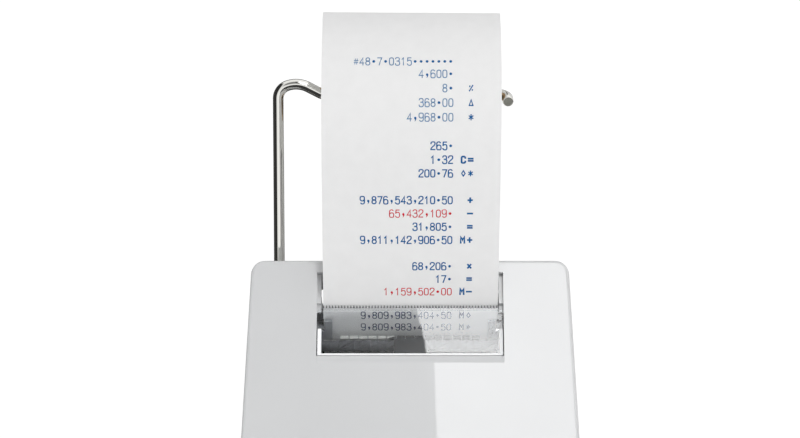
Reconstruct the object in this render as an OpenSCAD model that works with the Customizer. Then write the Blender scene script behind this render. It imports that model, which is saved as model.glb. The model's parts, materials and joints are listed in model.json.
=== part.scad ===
// Compact printing desk calculator: a wedge-shaped white case with a keypad and a
// display, a small wheel printer under a clear cutter cover, and a roll of paper
// that hangs on a wire arm behind the case.
// Frame: X to the right, +Y to the rear, +Z up; the desk is z = 0, and the origin is
// under the middle of the whole object, paper included. Millimetres.

/* [Case] */
// Length of the case, front to rear
case_l = 222; // [218:1:240]
// Distance from the origin back to the rear wall
rear_y = 74; // [70:1:80]
// Width of the case at its rear edge
case_w_rear = 104.7; // [104:0.1:112]
// Width of the case at its front edge
case_w_front = 120.4; // [118:0.1:130]
// Height of the rear top edge above the desk
case_h = 51; // [50:0.5:56]
// Slope of the display deck, degrees
upper_angle = 12; // [11:0.5:12.5]
// Length of the display deck along its slope
upper_l = 98; // [96:1:102]
// Slope of the key deck, degrees
key_angle = 6; // [5.5:0.25:6.5]
// Wall thickness of both case shells
wall = 2.2; // [1.8:0.1:2.4]
// Radius of the upright corners
corner_r = 4.5; // [3.5:0.5:6]
// Rounding of the top edge
edge_r = 1.2; // [0.6:0.1:2]
// Height of the line where the two shells meet
split_z = 10; // [9:0.5:11]
// Chamfer round the underside
belly_r = 3; // [2:0.5:4]
// Height of the lip that keeps the two shells in line
lip_h = 1.5; // [1:0.1:2]

/* [Feet and screws] */
// Height of the feet below the case
foot_h = 1.5; // [1:0.1:2.5]
// Radius of a foot
foot_r = 5; // [4:0.5:6]
// Shank diameter of the case screws
screw_d = 2.6; // [2:0.1:2.8]
// Head diameter of the case screws
screw_head_d = 4.6; // [4:0.1:5]
// Outer radius of the screw bosses
boss_r = 3; // [2.8:0.1:3.2]

/* [Keypad] */
// Width of a key cap
key_w = 15.5; // [13:0.1:16]
// Length of a key cap
key_l = 14; // [12:0.1:15]
// Distance between key columns
key_pitch_x = 19.5; // [19:0.1:20]
// Distance between key rows
key_pitch_y = 19; // [18:0.1:19.5]
// Height of a key cap above the deck
key_rise = 3.4; // [2.5:0.1:4.5]
// Travel of a key
key_travel = 1.8; // [1.2:0.1:2]
// Clearance round a key in its hole
key_gap = 0.25; // [0.2:0.05:0.4]
// Rounding of a key cap's corners
key_r = 2; // [1:0.1:3]
// Distance from the crease of the deck to the edge of the first key row
key_margin = 14; // [12:0.5:16]

/* [Display] */
// Width of the display lens
lens_w = 84; // [70:1:90]
// Length of the display lens
lens_l = 25; // [22:1:26]
// Distance from the rear edge to the lens
lens_u = 65; // [64:1:68]
// Thickness of the lens
lens_t = 1.2; // [0.8:0.1:1.4]
// Travel of a slide switch to each side of its middle
switch_travel = 3; // [2:0.5:4]
// Distance from the middle to a slide switch
switch_x = 29; // [24:1:32]

/* [Printer window] */
// Width of the printer window
window_w = 61.2; // [60.4:0.1:61.6]
// Distance from the rear edge to the window
window_u = 4.4; // [3.5:0.1:5]
// Distance from the rear edge to the foot of the sloping ledge
ledge_u = 32.6; // [32:0.1:34]
// Width of the sloping ledge at the front of the window
ledge_w = 2.6; // [2:0.1:3]
// Depth of the sloping ledge
ledge_drop = 1.2; // [0.8:0.1:1.6]
// Distance from the rear edge to the tips of the cutter teeth
teeth_u = 14.9; // [14.8:0.1:15.5]
// Distance between two cutter teeth
tooth_pitch = 1; // [0.8:0.1:1.5]
// Depth of a cutter tooth
tooth_l = 1.7; // [1:0.1:2]
// Thickness of the clear cover
cover_t = 1.4; // [1:0.1:1.6]
// Radius of the clear cover's crown
cover_r = 217; // [200:1:400]
// Fall of the cover's front edge to the rear, against the deck, degrees
cover_lean = 3; // [2:0.1:4]
// Clearance round the clear cover
cover_gap = 0.3; // [0.2:0.05:0.5]

/* [Printer] */
// Distance from the rear wall to the platen axis
platen_back = 16.5; // [16:0.1:17]
// Depth of the platen axis below the rear top edge
platen_drop = 26; // [25.5:0.1:26.5]
// Radius of the platen
platen_r = 6; // [5.8:0.05:6.1]
// Radius of the pinch roller
pinch_r = 4; // [3.5:0.1:4.1]
// Radius of the type wheel
wheel_r = 5; // [4.5:0.1:5.1]
// Radius of the ink roller
ink_r = 3.5; // [3:0.1:3.6]
// Radius of the grooved carriage screw
screw_drive_r = 2; // [1.6:0.1:2.1]
// Radius of the roller shafts
shaft_r = 2; // [1.5:0.1:2.1]
// Running clearance of a shaft in its hole
run_gap = 0.05; // [0.03:0.01:0.08]
// Gear module
gear_m = 0.5; // [0.48:0.01:0.51]
// Distance between the inner faces of the printer's side plates
frame_in = 64.8; // [64.2:0.1:65]
// Thickness of a side plate
plate_t = 1.5; // [1.2:0.1:1.6]

/* [Paper] */
// Width of the paper
paper_w = 57.5; // [56:0.1:58]
// Thickness of the paper as modelled
paper_t = 0.25; // [0.2:0.01:0.3]
// Radius of the paper roll
roll_r = 20; // [14:0.5:22]
// Inner radius of the core of the roll
core_in_r = 6; // [5.5:0.1:7]
// Outer radius of the core of the roll
core_r = 8; // [7.5:0.1:9]

/* [Wire arm] */
// Diameter of the wire
wire_d = 3.6; // [3:0.1:4]
// Elevation of the arm, degrees
arm_angle = 38; // [36:0.5:42]
// Length of the arm from its pivot to the roll's axle
arm_l = 61.5; // [58:0.1:66]
// Distance from the middle to the leg of the arm
arm_x = 44.3; // [44:0.1:46]
// Distance from the rear wall to the arm's pivot
pivot_back = 5.5; // [5:0.1:6.5]
// Depth of the arm's pivot below the rear top edge
pivot_drop = 20.1; // [19:0.1:21]

/* [Batteries] */
// Diameter of a cell
cell_d = 14.2; // [13.5:0.1:14.4]
// Length of a cell
cell_l = 50.2; // [48:0.1:50.5]
// Distance between two cells
cell_pitch = 14.8; // [14.7:0.1:15]

/* [Hidden] */
$fn = 48;
front_y = rear_y - case_l;
side_slope = (case_w_front - case_w_rear) / 2 / case_l;
side_angle = atan(side_slope);
crease_y = rear_y - upper_l * cos(upper_angle);
crease_z = case_h - upper_l * sin(upper_angle);
corner_steps = 8;
lip_t = 1;
lip_gap = 0.1;
flat_gap = 0.3;
eps = 0.01;
long = 200;

// Keys: name, column from the left, row from the front, rows it spans.
KEYS = [
    ["key_clear", 0, 0, 1], ["key_0", 1, 0, 1], ["key_00", 2, 0, 1], ["key_point", 3, 0, 1],
    ["key_plus", 4, 0, 2],
    ["key_clear_entry", 0, 1, 1], ["key_1", 1, 1, 1], ["key_2", 2, 1, 1], ["key_3", 3, 1, 1],
    ["key_memory_plus", 0, 2, 1], ["key_4", 1, 2, 1], ["key_5", 2, 2, 1], ["key_6", 3, 2, 1],
    ["key_minus", 4, 2, 1],
    ["key_memory_total", 0, 3, 1], ["key_7", 1, 3, 1], ["key_8", 2, 3, 1], ["key_9", 3, 3, 1],
    ["key_multiply", 4, 3, 1],
    ["key_feed", 0, 4, 1], ["key_backspace", 1, 4, 1], ["key_sign", 2, 4, 1],
    ["key_percent", 3, 4, 1], ["key_divide", 4, 4, 1]
];
key_rows = 5;
key_columns = 5;
flange_t = 1;
flange_w = 0.6;
flange_top = -wall - flat_gap;
stem_r = 2.5;
stem_l = 1.5;
stem_end = flange_top - flange_t - stem_l;
sheet_top = stem_end - key_travel - 0.2;
sheet_t = 1;
ring_h = stem_l - 0.1;
ring_r = 4.2;
board_t = 1.6;
board_top = sheet_top - sheet_t;
board_bottom = board_top - board_t;
board_half_w = 46;
sheet_half_w = 45;
keys_u = key_margin + key_rows * key_pitch_y;
board_v0 = 8;
board_v1 = keys_u + 5;
rib_t = 1.5;

cover_half_w = window_w / 2 - cover_gap;
cover_front = cover_gap - ledge_u;
cover_n = 0.2 - ledge_drop;
cover_axis_y = cover_front - cover_r * sin(cover_lean);
cover_axis_n = cover_n - cover_r * cos(cover_lean);

floor_z = foot_h + wall;
foot_recess = 1;
foot_y_in = 20;
foot_x_in = 17;

// Screw bosses: x, y
boss_rear_x = case_w_rear / 2 - wall - boss_r - 0.4;
boss_rear_y = rear_y - 6.7;
boss_mid_y = crease_y + 2;
boss_front_y = front_y + 16;
BOSSES = [
    [boss_rear_x, boss_rear_y],
    [half_w(boss_mid_y) - wall - boss_r - 0.4, boss_mid_y],
    [half_w(boss_front_y) - wall - boss_r - 1.2, boss_front_y]
];
head_recess = 3;
post_z = split_z + lip_h + 0.5;
screw_grip = 3;

// Printer axes, each [y, z].
platen_z = case_h - platen_drop;
platen = [rear_y - platen_back, platen_z];
wrap_r = platen_r + 0.15 + paper_t / 2;
depart_angle = 157.5;
pinch_angle = -120;
pinch = platen + (wrap_r + paper_t / 2 + 0.1 + pinch_r) * [cos(pinch_angle), sin(pinch_angle)];
type_axis = platen + [-12, 0];
screw_axis = platen + [-7.7, 10.5];
guide_axis = platen + [-14.7, -11];
ink_axis = type_axis + (wheel_r + ink_r + 0.15) * [-sin(17), cos(17)];
guide_r = 1.5;
type_shaft_w = 2.6;
wheel_w = 7;
cheek_t = 1.5;
carriage_half_w = wheel_w / 2 + 0.3 + cheek_t;
cassette_top = platen_z + 14.5;

gear_t = 3;
gear_x = frame_in / 2 + plate_t + 1.1;
platen_teeth = 24;
idler_teeth = 20;
type_teeth = 36;
pinion_teeth = 12;
idler_angle = -54;
idler_post_r = 1.5;
idler_axis = platen + gear_m * (platen_teeth + idler_teeth) / 2 * [cos(idler_angle), sin(idler_angle)];
motor_angle = -37.7;
motor_axis = type_axis + gear_m * (type_teeth + pinion_teeth) / 2 * [cos(motor_angle), sin(motor_angle)];
motor_r = 8;
motor_shaft_r = 1;
bracket_x = gear_x + gear_t + 0.5;
bracket_t = 1;
motor_l = half_w(rear_y) - wall - bracket_x - bracket_t - 0.65;
frame_front_y = platen[0] - 20.5;
frame_rear_y = platen[0] + 9.5;
frame_z0 = floor_z + 2.4;
frame_top = platen_z + 14;
base_t = 1.5;

// Roll and web
leg_dir = [cos(arm_angle), sin(arm_angle)];
pivot_z = case_h - pivot_drop;
pivot = [rear_y + pivot_back, pivot_z];
axle = pivot + arm_l * leg_dir;
roll_drop = core_in_r - wire_d / 2 - flat_gap;
roll_centre = axle - [0, roll_drop];
web_r = roll_r + 0.2 + paper_t / 2;
to_roll = roll_centre - platen;
web_angle = atan2(to_roll[1], to_roll[0]) - asin((web_r - wrap_r) / norm(to_roll));
web_start = platen + wrap_r * [sin(web_angle), -cos(web_angle)];
web_end = roll_centre + web_r * [sin(web_angle), -cos(web_angle)];
web_split_y = rear_y + 0.6;

// The tape after the platen: length of each bend and the elevation at its end.
tape_bends = [[25, 57], [12, 52.5], [28, 53.5], [12, 47], [9, 37], [18.5, 11], [21, -27]];
tape_step = 3;

slot_z = web_start[1] + (rear_y - web_start[0]) * tan(web_angle);
slot_low = 3.4;
slot_high = 6.6;

jack_w = 8;
jack_x = frame_in / 2 + plate_t + 0.7 + jack_w / 2;
jack_z = 15;
jack_depth = 7.8;
jack_bore_r = 2.8;
jack_nose_r = 3.8;
jack_nose_l = 1.6;

bay_y = rear_y - 40.5;
bay_wall = 1.5;
bay_l = 4 * cell_pitch + 1.2;
bay_half_w = cell_l / 2 + 4;
bay_top = floor_z + cell_d + 1.9;
door_gap = 0.3;
door_t = wall - 0.2;
door_pin_r = 0.5;
door_axis = [bay_y - bay_l + door_gap + door_t / 2, foot_h + door_t / 2];

barrel_l = 5;
barrel_r = 3.4;
barrel_x = -arm_x + 3.2;
bend_r = 3;

// ---------------------------------------------------------------- case outline

function half_w(y) = case_w_rear / 2 + (rear_y - y) * side_slope;

function deck_z(y) = y > crease_y
    ? case_h - (rear_y - y) * tan(upper_angle)
    : crease_z - (crease_y - y) * tan(key_angle);

function arc(cx, cy, r, from, to) = [for (k = [0:corner_steps])
    let (a = from + (to - from) * k / corner_steps) [cx + r * cos(a), cy + r * sin(a)]];

// The case seen from above, moved inwards by inset, with a point on each side at
// the crease. It starts at the right rear corner and runs anticlockwise.
function outline(inset) =
    let (
        r = max(0.4, corner_r - inset),
        back = rear_y - inset - r,
        front = front_y + inset + r,
        back_x = half_w(back) - (inset + r) / cos(side_angle),
        front_x = half_w(front) - (inset + r) / cos(side_angle),
        side_x = half_w(crease_y) - inset / cos(side_angle)
    ) concat(
        arc(back_x, back, r, side_angle, 90),
        arc(-back_x, back, r, 90, 180 - side_angle),
        [[-side_x, crease_y]],
        arc(-front_x, front, r, 180 - side_angle, 270),
        arc(front_x, front, r, 270, 360 + side_angle),
        [[side_x, crease_y]]
    );

corner_points = corner_steps + 1;
ring_points = 4 * corner_points + 2;

function flat_ring(inset, z) = [for (p = outline(inset)) [p[0], p[1], z]];
function deck_ring(inset, drop) = [for (p = outline(inset)) [p[0], p[1], deck_z(p[1]) - drop]];

function sides(rings, n) = [for (k = [0:rings - 2], i = [0:n - 1])
    let (j = (i + 1) % n) [k * n + i, (k + 1) * n + i, (k + 1) * n + j, k * n + j]];

// A closed body through the rings, the last of which follows the two decks.
module deck_body(rings) {
    n = ring_points;
    top = (len(rings) - 1) * n;
    left = 2 * corner_points;
    rear_cap = concat([top + n - 1], [for (i = [0:left]) top + i]);
    front_cap = [for (i = [left:n - 1]) top + i];
    polyhedron(
        [for (ring = rings) each ring],
        concat(
            [[for (i = [0:n - 1]) i]],
            sides(len(rings), n),
            [[for (i = [len(rear_cap) - 1:-1:0]) rear_cap[i]]],
            [[for (i = [len(front_cap) - 1:-1:0]) front_cap[i]]]
        )
    );
}

// A closed body through the rings, with flat ends.
module flat_body(rings) {
    n = len(rings[0]);
    top = (len(rings) - 1) * n;
    polyhedron(
        [for (ring = rings) each ring],
        concat([[for (i = [0:n - 1]) i]], sides(len(rings), n), [[for (i = [n - 1:-1:0]) top + i]])
    );
}

// ---------------------------------------------------------------- local frames

// On the display deck: local y = 0 is the rear edge, and y = -u lies u towards the
// front; local z is the outward normal.
module on_upper_deck() {
    translate([0, rear_y, case_h]) rotate([upper_angle, 0, 0]) children();
}

// On the key deck: local y = 0 is the crease, and y = -v lies v towards the front.
module on_key_deck() {
    translate([0, crease_y, crease_z]) rotate([key_angle, 0, 0]) children();
}

// A round bar along X round the axis [y, z].
module bar(axis, r, x0, x1) {
    translate([x0, axis[0], axis[1]]) rotate([0, 90, 0]) cylinder(r = r, h = x1 - x0);
}

// A profile given as [y, z] points, drawn along X.
module along_x(points, x0, x1) {
    translate([x0, 0, 0]) rotate([90, 0, 90]) linear_extrude(x1 - x0) polygon(points);
}

// A box between two corners.
module box(low, high) {
    translate(low) cube(high - low);
}

function key_x(key) = (key[1] - (key_columns - 1) / 2) * key_pitch_x;
function key_v(key) = keys_u - (key[2] + key[3] / 2) * key_pitch_y;
function key_len(key) = key_l + (key[3] - 1) * key_pitch_y;

// ---------------------------------------------------------------- case

module printer_window() {
    on_upper_deck() {
        along_x([
            [-window_u, 1], [-window_u, -wall - 20], [-ledge_u, -wall - 20],
            [-ledge_u, -ledge_drop], [-ledge_u - ledge_w, 0], [-ledge_u - ledge_w, 1]
        ], -window_w / 2, window_w / 2);
    }
}

// Rim that stands down from the deck beside the printer window. At each side of the slot
// that the tape comes out of it has a shelf, which steps down under the cover's teeth.
module window_rim() {
    rim_t = 1.5;
    rim_h = 8;
    shelf_w = 1.35;
    shelf_drop = 2.6;
    shelf_t = 2;
    root_n = cover_axis_n + sqrt(pow(cover_r, 2) - pow(teeth_u + tooth_l + cover_axis_y, 2));
    step_drop = cover_t + 0.5 - root_n;
    on_upper_deck() for (side = [-1, 1]) {
        translate([side * (window_w / 2 + rim_t / 2) - rim_t / 2, -ledge_u, -wall - rim_h + 2])
            cube([rim_t, ledge_u - window_u, rim_h - 1]);
        translate([side * window_w / 2 - shelf_w, -teeth_u + 0.6, -shelf_drop - shelf_t])
            cube([2 * shelf_w, teeth_u - window_u - 0.6, shelf_t]);
        translate([side * window_w / 2 - shelf_w, -teeth_u - tooth_l - 0.5, -step_drop - shelf_t])
            cube([2 * shelf_w, tooth_l + 1.4, shelf_t]);
    }
}

module display_opening() {
    frame_w = 3;
    on_upper_deck() {
        translate([-lens_w / 2 - 0.1, -lens_u - lens_l - 0.1, -lens_t])
            cube([lens_w + 0.2, lens_l + 0.2, 2 * lens_t]);
        translate([-lens_w / 2 + frame_w, -lens_u - lens_l + frame_w, -2 * wall])
            cube([lens_w - 2 * frame_w, lens_l - 2 * frame_w, 3 * wall]);
    }
}

switch_v = 6;
knob_neck_w = 4;
knob_neck_l = 2.2;

module switch_slot(x) {
    slot_w = knob_neck_w + 2 * switch_travel + 0.8;
    on_key_deck() translate([x - slot_w / 2, -switch_v - knob_neck_l / 2 - 0.3, -2 * wall])
        cube([slot_w, knob_neck_l + 0.6, 3 * wall]);
}

module key_holes() {
    on_key_deck() for (key = KEYS) {
        w = key_w + 2 * key_gap;
        l = key_len(key) + 2 * key_gap;
        translate([key_x(key) - w / 2, -key_v(key) - l / 2, -3 * wall]) cube([w, l, 4 * wall]);
    }
}

// Post of the top case that takes a screw.
module top_post(x, y) {
    difference() {
        translate([x, y, post_z]) cylinder(r = boss_r, h = deck_z(y) - wall - post_z + 0.6);
        translate([x, y, post_z - 1]) cylinder(d = screw_d + 2 * run_gap, h = screw_grip + 2);
    }
}

module top_case() {
    color("white") {
        difference() {
            deck_body([
                flat_ring(0, split_z),
                for (a = [0, 30, 60, 90]) deck_ring(edge_r * (1 - cos(a)), edge_r * (1 - sin(a)))
            ]);
            deck_body([
                flat_ring(wall, split_z - 1),
                deck_ring(wall, wall + 0.8),
                deck_ring(wall + 0.8, wall)
            ]);
            printer_window();
            display_opening();
            for (side = [-1, 1]) switch_slot(side * switch_x);
            key_holes();
            paper_inlet();
            bar_y([jack_x, jack_z], jack_nose_r + 0.1, rear_y - wall - 1, rear_y + 1);
        }
        window_rim();
        for (boss = BOSSES, side = [-1, 1]) top_post(side * boss[0], boss[1]);
    }
}

// Slot in the rear wall where the paper goes in.
module paper_inlet() {
    slot_half_w = paper_w / 2 + 1.25;
    box([-slot_half_w, rear_y - wall - 1, slot_z - slot_low], [slot_half_w, rear_y + 1, slot_z + slot_high]);
}

// A round bar along Y at [x, z].
module bar_y(place, r, y0, y1) {
    translate([place[0], y0, place[1]]) rotate([-90, 0, 0]) cylinder(r = r, h = y1 - y0);
}

module bottom_boss(x, y) {
    translate([x, y, floor_z - 0.5]) cylinder(r = boss_r, h = post_z - floor_z + 0.5);
}

module screw_hole(x, y) {
    translate([x, y, 0]) cylinder(d = screw_d + 2 * run_gap, h = post_z + 1);
    translate([x, y, 0]) cylinder(d = screw_head_d + 0.4, h = foot_h + head_recess);
}

// Walls and roof of the battery bay, open at the bottom.
module battery_bay() {
    outer = [bay_half_w + bay_wall, bay_l / 2 + bay_wall];
    mid_y = bay_y - bay_l / 2;
    difference() {
        box([-outer[0], mid_y - outer[1], floor_z - 0.5], [outer[0], mid_y + outer[1], bay_top + bay_wall]);
        box([-bay_half_w, mid_y - bay_l / 2, 0], [bay_half_w, mid_y + bay_l / 2, bay_top]);
    }
}

// Ribs that carry the main board.
module board_ribs() {
    intersection() {
        on_key_deck() for (v = [25, 62, 99]) {
            translate([-board_half_w + 4, -v - rib_t / 2, board_bottom - 30])
                cube([2 * board_half_w - 8, rib_t, 30]);
        }
        box([-long, -long, floor_z - 0.5], [long, long, case_h]);
    }
}

// Low posts that carry the printer.
module printer_posts() {
    for (x = [-24, 24], y = [frame_front_y + 6, frame_rear_y - 5]) {
        translate([x, y, floor_z - 0.5]) cylinder(r = 3, h = frame_z0 - floor_z + 0.5);
    }
}

module bottom_case() {
    color("gainsboro") difference() {
        union() {
            difference() {
                flat_body([
                    flat_ring(belly_r, foot_h),
                    flat_ring(belly_r * 0.45, foot_h + belly_r * 0.25),
                    flat_ring(belly_r * 0.1, foot_h + belly_r * 0.7),
                    flat_ring(0, foot_h + belly_r * 1.2),
                    flat_ring(0, split_z)
                ]);
                flat_body([flat_ring(wall, floor_z), flat_ring(wall, split_z + 1)]);
            }
            difference() {
                flat_body([flat_ring(wall + lip_gap, split_z - 2), flat_ring(wall + lip_gap, split_z + lip_h)]);
                flat_body([
                    flat_ring(wall + lip_gap + lip_t, split_z - 3),
                    flat_ring(wall + lip_gap + lip_t, split_z + lip_h + 1)
                ]);
            }
            difference() {
                flat_body([flat_ring(wall - 0.5, split_z - 2), flat_ring(wall - 0.5, split_z - 0.5)]);
                flat_body([
                    flat_ring(wall + lip_gap + lip_t, split_z - 3),
                    flat_ring(wall + lip_gap + lip_t, split_z)
                ]);
            }
            for (boss = BOSSES, side = [-1, 1]) bottom_boss(side * boss[0], boss[1]);
            battery_bay();
            board_ribs();
            printer_posts();
        }
        for (boss = BOSSES, side = [-1, 1]) screw_hole(side * boss[0], boss[1]);
        door_opening();
        for (x = [-1, 1], y = [-1, 1]) foot_place(x, y, foot_r + 0.1);
        box([jack_x - jack_w / 2 - lip_gap, rear_y - wall - 3, split_z - 2.5],
            [jack_x + jack_w / 2 + lip_gap, rear_y - wall, split_z + lip_h + 1]);
    }
}

module foot_place(x, y, r) {
    foot_y = y > 0 ? rear_y - foot_y_in : front_y + foot_y_in;
    translate([x * (half_w(foot_y) - foot_x_in), foot_y, 0]) cylinder(r = r, h = foot_h + foot_recess);
}

module rubber_feet() {
    color("dimgray") for (x = [-1, 1], y = [-1, 1]) foot_place(x, y, foot_r);
}

module case_screws() {
    color("silver") for (boss = BOSSES, side = [-1, 1]) translate([side * boss[0], boss[1], foot_h + head_recess]) {
        translate([0, 0, -1.6]) cylinder(d = screw_head_d, h = 1.6);
        cylinder(d = screw_d, h = post_z + screw_grip - foot_h - head_recess);
    }
}

// The opening for the battery door, with a notch for a finger at its rear edge.
module door_opening() {
    notch_r = 4;
    box([-bay_half_w, bay_y - bay_l, 0], [bay_half_w, bay_y, floor_z + 1]);
    translate([0, bay_y, foot_h]) sphere(r = notch_r);
    bar(door_axis, door_pin_r + run_gap, -bay_half_w - 1.2, bay_half_w + 1.2);
}

module battery_door() {
    grip_half_w = 8;
    grip_pitch = 1.6;
    grip_depth = 0.5;
    half = bay_half_w - door_gap;
    color("gainsboro") difference() {
        union() {
            box([-half, door_axis[0], foot_h], [half, bay_y - door_gap, foot_h + door_t]);
            bar(door_axis, door_t / 2, -half, half);
            bar(door_axis, door_pin_r, -bay_half_w - 1, bay_half_w + 1);
        }
        for (k = [1:5]) {
            y = bay_y - 4 - k * grip_pitch;
            box([-grip_half_w, y, foot_h - 1], [grip_half_w, y + grip_pitch / 2, foot_h + grip_depth]);
        }
    }
}

function cell_y(k) = bay_y - bay_l / 2 + (k - 1.5) * cell_pitch;
cell_z = floor_z + 0.2 + cell_d / 2;

module batteries() {
    nub_l = 1;
    nub_r = 2.6;
    color("seagreen") for (k = [0:3]) {
        bar([cell_y(k), cell_z], cell_d / 2, -cell_l / 2, cell_l / 2);
        side = k % 2 == 0 ? 1 : -1;
        bar([cell_y(k), cell_z], nub_r, side > 0 ? cell_l / 2 - 1 : -cell_l / 2 - nub_l,
            side > 0 ? cell_l / 2 + nub_l : -cell_l / 2 + 1);
    }
}

module battery_contacts() {
    leaf_t = 0.4;
    leaf_w = 11;
    color("silver") for (k = [0:3], side = [-1, 1]) {
        plus = (k % 2 == 0 ? 1 : -1) == side;
        x = side * (bay_half_w - leaf_t / 2);
        box([x - leaf_t / 2, cell_y(k) - leaf_w / 2, cell_z - 6], [x + leaf_t / 2, cell_y(k) + leaf_w / 2, cell_z + 6]);
        reach = bay_half_w - leaf_t - cell_l / 2 - (plus ? 1 : 0) - 0.1;
        translate([side * (bay_half_w - leaf_t - reach / 2), cell_y(k), cell_z])
            rotate([0, 90, 0]) cylinder(r1 = 3, r2 = 3, h = reach, center = true);
    }
}

module dc_jack() {
    x = jack_x;
    y1 = rear_y - wall;
    color("black") difference() {
        union() {
            box([x - jack_w / 2, y1 - jack_depth, jack_z - 5], [x + jack_w / 2, y1, jack_z + 4.5]);
            box([x - jack_w / 2, y1 - jack_depth, floor_z], [x + jack_w / 2, y1 - jack_depth + 4, jack_z]);
            bar_y([x, jack_z], jack_nose_r, y1 - 0.5, y1 + jack_nose_l);
        }
        bar_y([x, jack_z], jack_bore_r, y1 - jack_depth + 1.5, rear_y + 1);
    }
}

// ---------------------------------------------------------------- display and switches

module display_lens() {
    color("dimgray") on_upper_deck()
        translate([-lens_w / 2, -lens_u - lens_l, -lens_t]) cube([lens_w, lens_l, lens_t - 0.1]);
}

module lcd_panel() {
    glass_in = 1.5;
    glass_t = 2.6;
    color("darkseagreen") on_upper_deck()
        translate([-lens_w / 2 + glass_in, -lens_u - lens_l + glass_in, -wall - glass_t])
            cube([lens_w - 2 * glass_in, lens_l - 2 * glass_in, glass_t]);
}

module slide_knob(x) {
    cap_w = 6.5;
    cap_l = 4;
    cap_h = 1.4;
    plate_w = knob_neck_w + 4 * switch_travel + 3;
    plate_l = 6;
    plate_h = 1.2;
    color("slategray") on_key_deck() translate([x, -switch_v, 0]) {
        difference() {
            translate([-cap_w / 2, -cap_l / 2, flat_gap]) cube([cap_w, cap_l, cap_h]);
            for (k = [-2:2]) translate([k * 1.2 - 0.25, -cap_l, flat_gap + cap_h - 0.4]) cube([0.5, 2 * cap_l, 1]);
        }
        translate([-knob_neck_w / 2, -knob_neck_l / 2, -wall - flat_gap - plate_h / 2])
            cube([knob_neck_w, knob_neck_l, wall + 2 * flat_gap + plate_h / 2 + 0.2]);
        translate([-plate_w / 2, -plate_l / 2, -wall - flat_gap - plate_h]) cube([plate_w, plate_l, plate_h]);
    }
}

module slide_knob_left() { slide_knob(-switch_x); }
module slide_knob_right() { slide_knob(switch_x); }

// ---------------------------------------------------------------- keys

// A rounded rectangle at height z, as a ring of twelve points.
function cap_ring(w, l, r, z) = [for (corner = [0:3], k = [0:2])
    let (
        a = corner * 90 + k * 45,
        sx = corner == 0 || corner == 3 ? 1 : -1,
        sy = corner < 2 ? 1 : -1
    ) [sx * (w / 2 - r) + r * cos(a), sy * (l / 2 - r) + r * sin(a), z]];

module key_cap(key) {
    shoulder = 0.6;
    taper = 0.9;
    bevel = 0.5;
    dish = 0.4;
    dish_r = 48;
    l = key_len(key);
    function_key = key[1] == 0 || key[1] == key_columns - 1 || key[2] == key_rows - 1;
    color(function_key ? "lightsteelblue" : "whitesmoke") on_key_deck()
        translate([key_x(key), -key_v(key), 0]) {
            difference() {
                flat_body([
                    cap_ring(key_w, l, key_r, flange_top - flange_t / 2),
                    cap_ring(key_w, l, key_r, shoulder),
                    cap_ring(key_w - taper, l - taper, key_r, key_rise - bevel),
                    cap_ring(key_w - taper - 2 * bevel, l - taper - 2 * bevel, key_r - bevel / 2, key_rise)
                ]);
                translate([0, 0, key_rise + dish_r - dish]) rotate([90, 0, 0])
                    cylinder(r = dish_r, h = l - 5, center = true, $fn = 180);
            }
            translate([-key_w / 2 - flange_w, -l / 2 - flange_w, flange_top - flange_t])
                cube([key_w + 2 * flange_w, l + 2 * flange_w, flange_t]);
            translate([0, 0, stem_end]) cylinder(r = stem_r, h = stem_l + 0.5);
        }
}

module keypad_membrane() {
    color("lightgray") on_key_deck() {
        difference() {
            union() {
                translate([-sheet_half_w, -board_v1, sheet_top - sheet_t])
                    cube([2 * sheet_half_w, board_v1 - board_v0 - 6, sheet_t]);
                for (key = KEYS) translate([key_x(key), -key_v(key), sheet_top - 0.5])
                    cylinder(r = ring_r, h = ring_h + 0.5);
            }
            for (key = KEYS) translate([key_x(key), -key_v(key), sheet_top])
                cylinder(r = stem_r + 0.5, h = ring_h + 1);
        }
    }
}

module main_board() {
    color("darkgreen") on_key_deck() translate([-board_half_w, -board_v1, board_bottom])
        cube([2 * board_half_w, board_v1 - board_v0, board_t]);
}

// ---------------------------------------------------------------- clear cover

// What lies under the cover's crowned face, moved down by drop.
module under_crown(drop) {
    bar([cover_axis_y, cover_axis_n], cover_r - drop, -window_w, window_w, $fn = 360);
}

module cover_outline() {
    teeth = floor((2 * cover_half_w - 2) / tooth_pitch);
    first = -teeth * tooth_pitch / 2;
    root = -teeth_u - tooth_l;
    polygon(concat(
        [[-cover_half_w, cover_front], [cover_half_w, cover_front], [cover_half_w, root]],
        [for (k = [teeth:-1:1]) each [[first + k * tooth_pitch, root], [first + (k - 0.5) * tooth_pitch, -teeth_u]]],
        [[first, root], [-cover_half_w, root]]
    ));
}

module printer_cover() {
    skirt_h = 3;
    skirt_t = 1.2;
    clip_u = 21.2;
    clip_l = 3;
    clip_t = 2;
    clip_h = 5;
    tooth_t = 0.5;
    under = cover_n - cover_t;
    color([0.85, 0.9, 0.95, 0.35]) on_upper_deck() {
        difference() {
            intersection() {
                translate([0, 0, under - skirt_h]) linear_extrude(2 * skirt_h) cover_outline();
                under_crown(0);
            }
            under_crown(cover_t);
            intersection() {
                under_crown(tooth_t);
                box([-long, -teeth_u - tooth_l, -long], [long, long, long]);
            }
        }
        intersection() {
            union() {
                box([4 - cover_half_w, cover_front, under - skirt_h / 3], [cover_half_w - 4, cover_front + skirt_t, 0]);
                for (side = [-1, 1]) {
                    skirt_x = side * (cover_half_w - skirt_t / 2);
                    clip_x = side * (cover_half_w - clip_t / 2);
                    box([skirt_x - skirt_t / 2, cover_front, under - skirt_h],
                        [skirt_x + skirt_t / 2, -teeth_u - tooth_l - 1, 0]);
                    box([clip_x - clip_t / 2, -clip_u - clip_l / 2, under - clip_h],
                        [clip_x + clip_t / 2, -clip_u + clip_l / 2, 0]);
                }
            }
            under_crown(cover_t / 2);
        }
    }
}

// ---------------------------------------------------------------- printer

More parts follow.
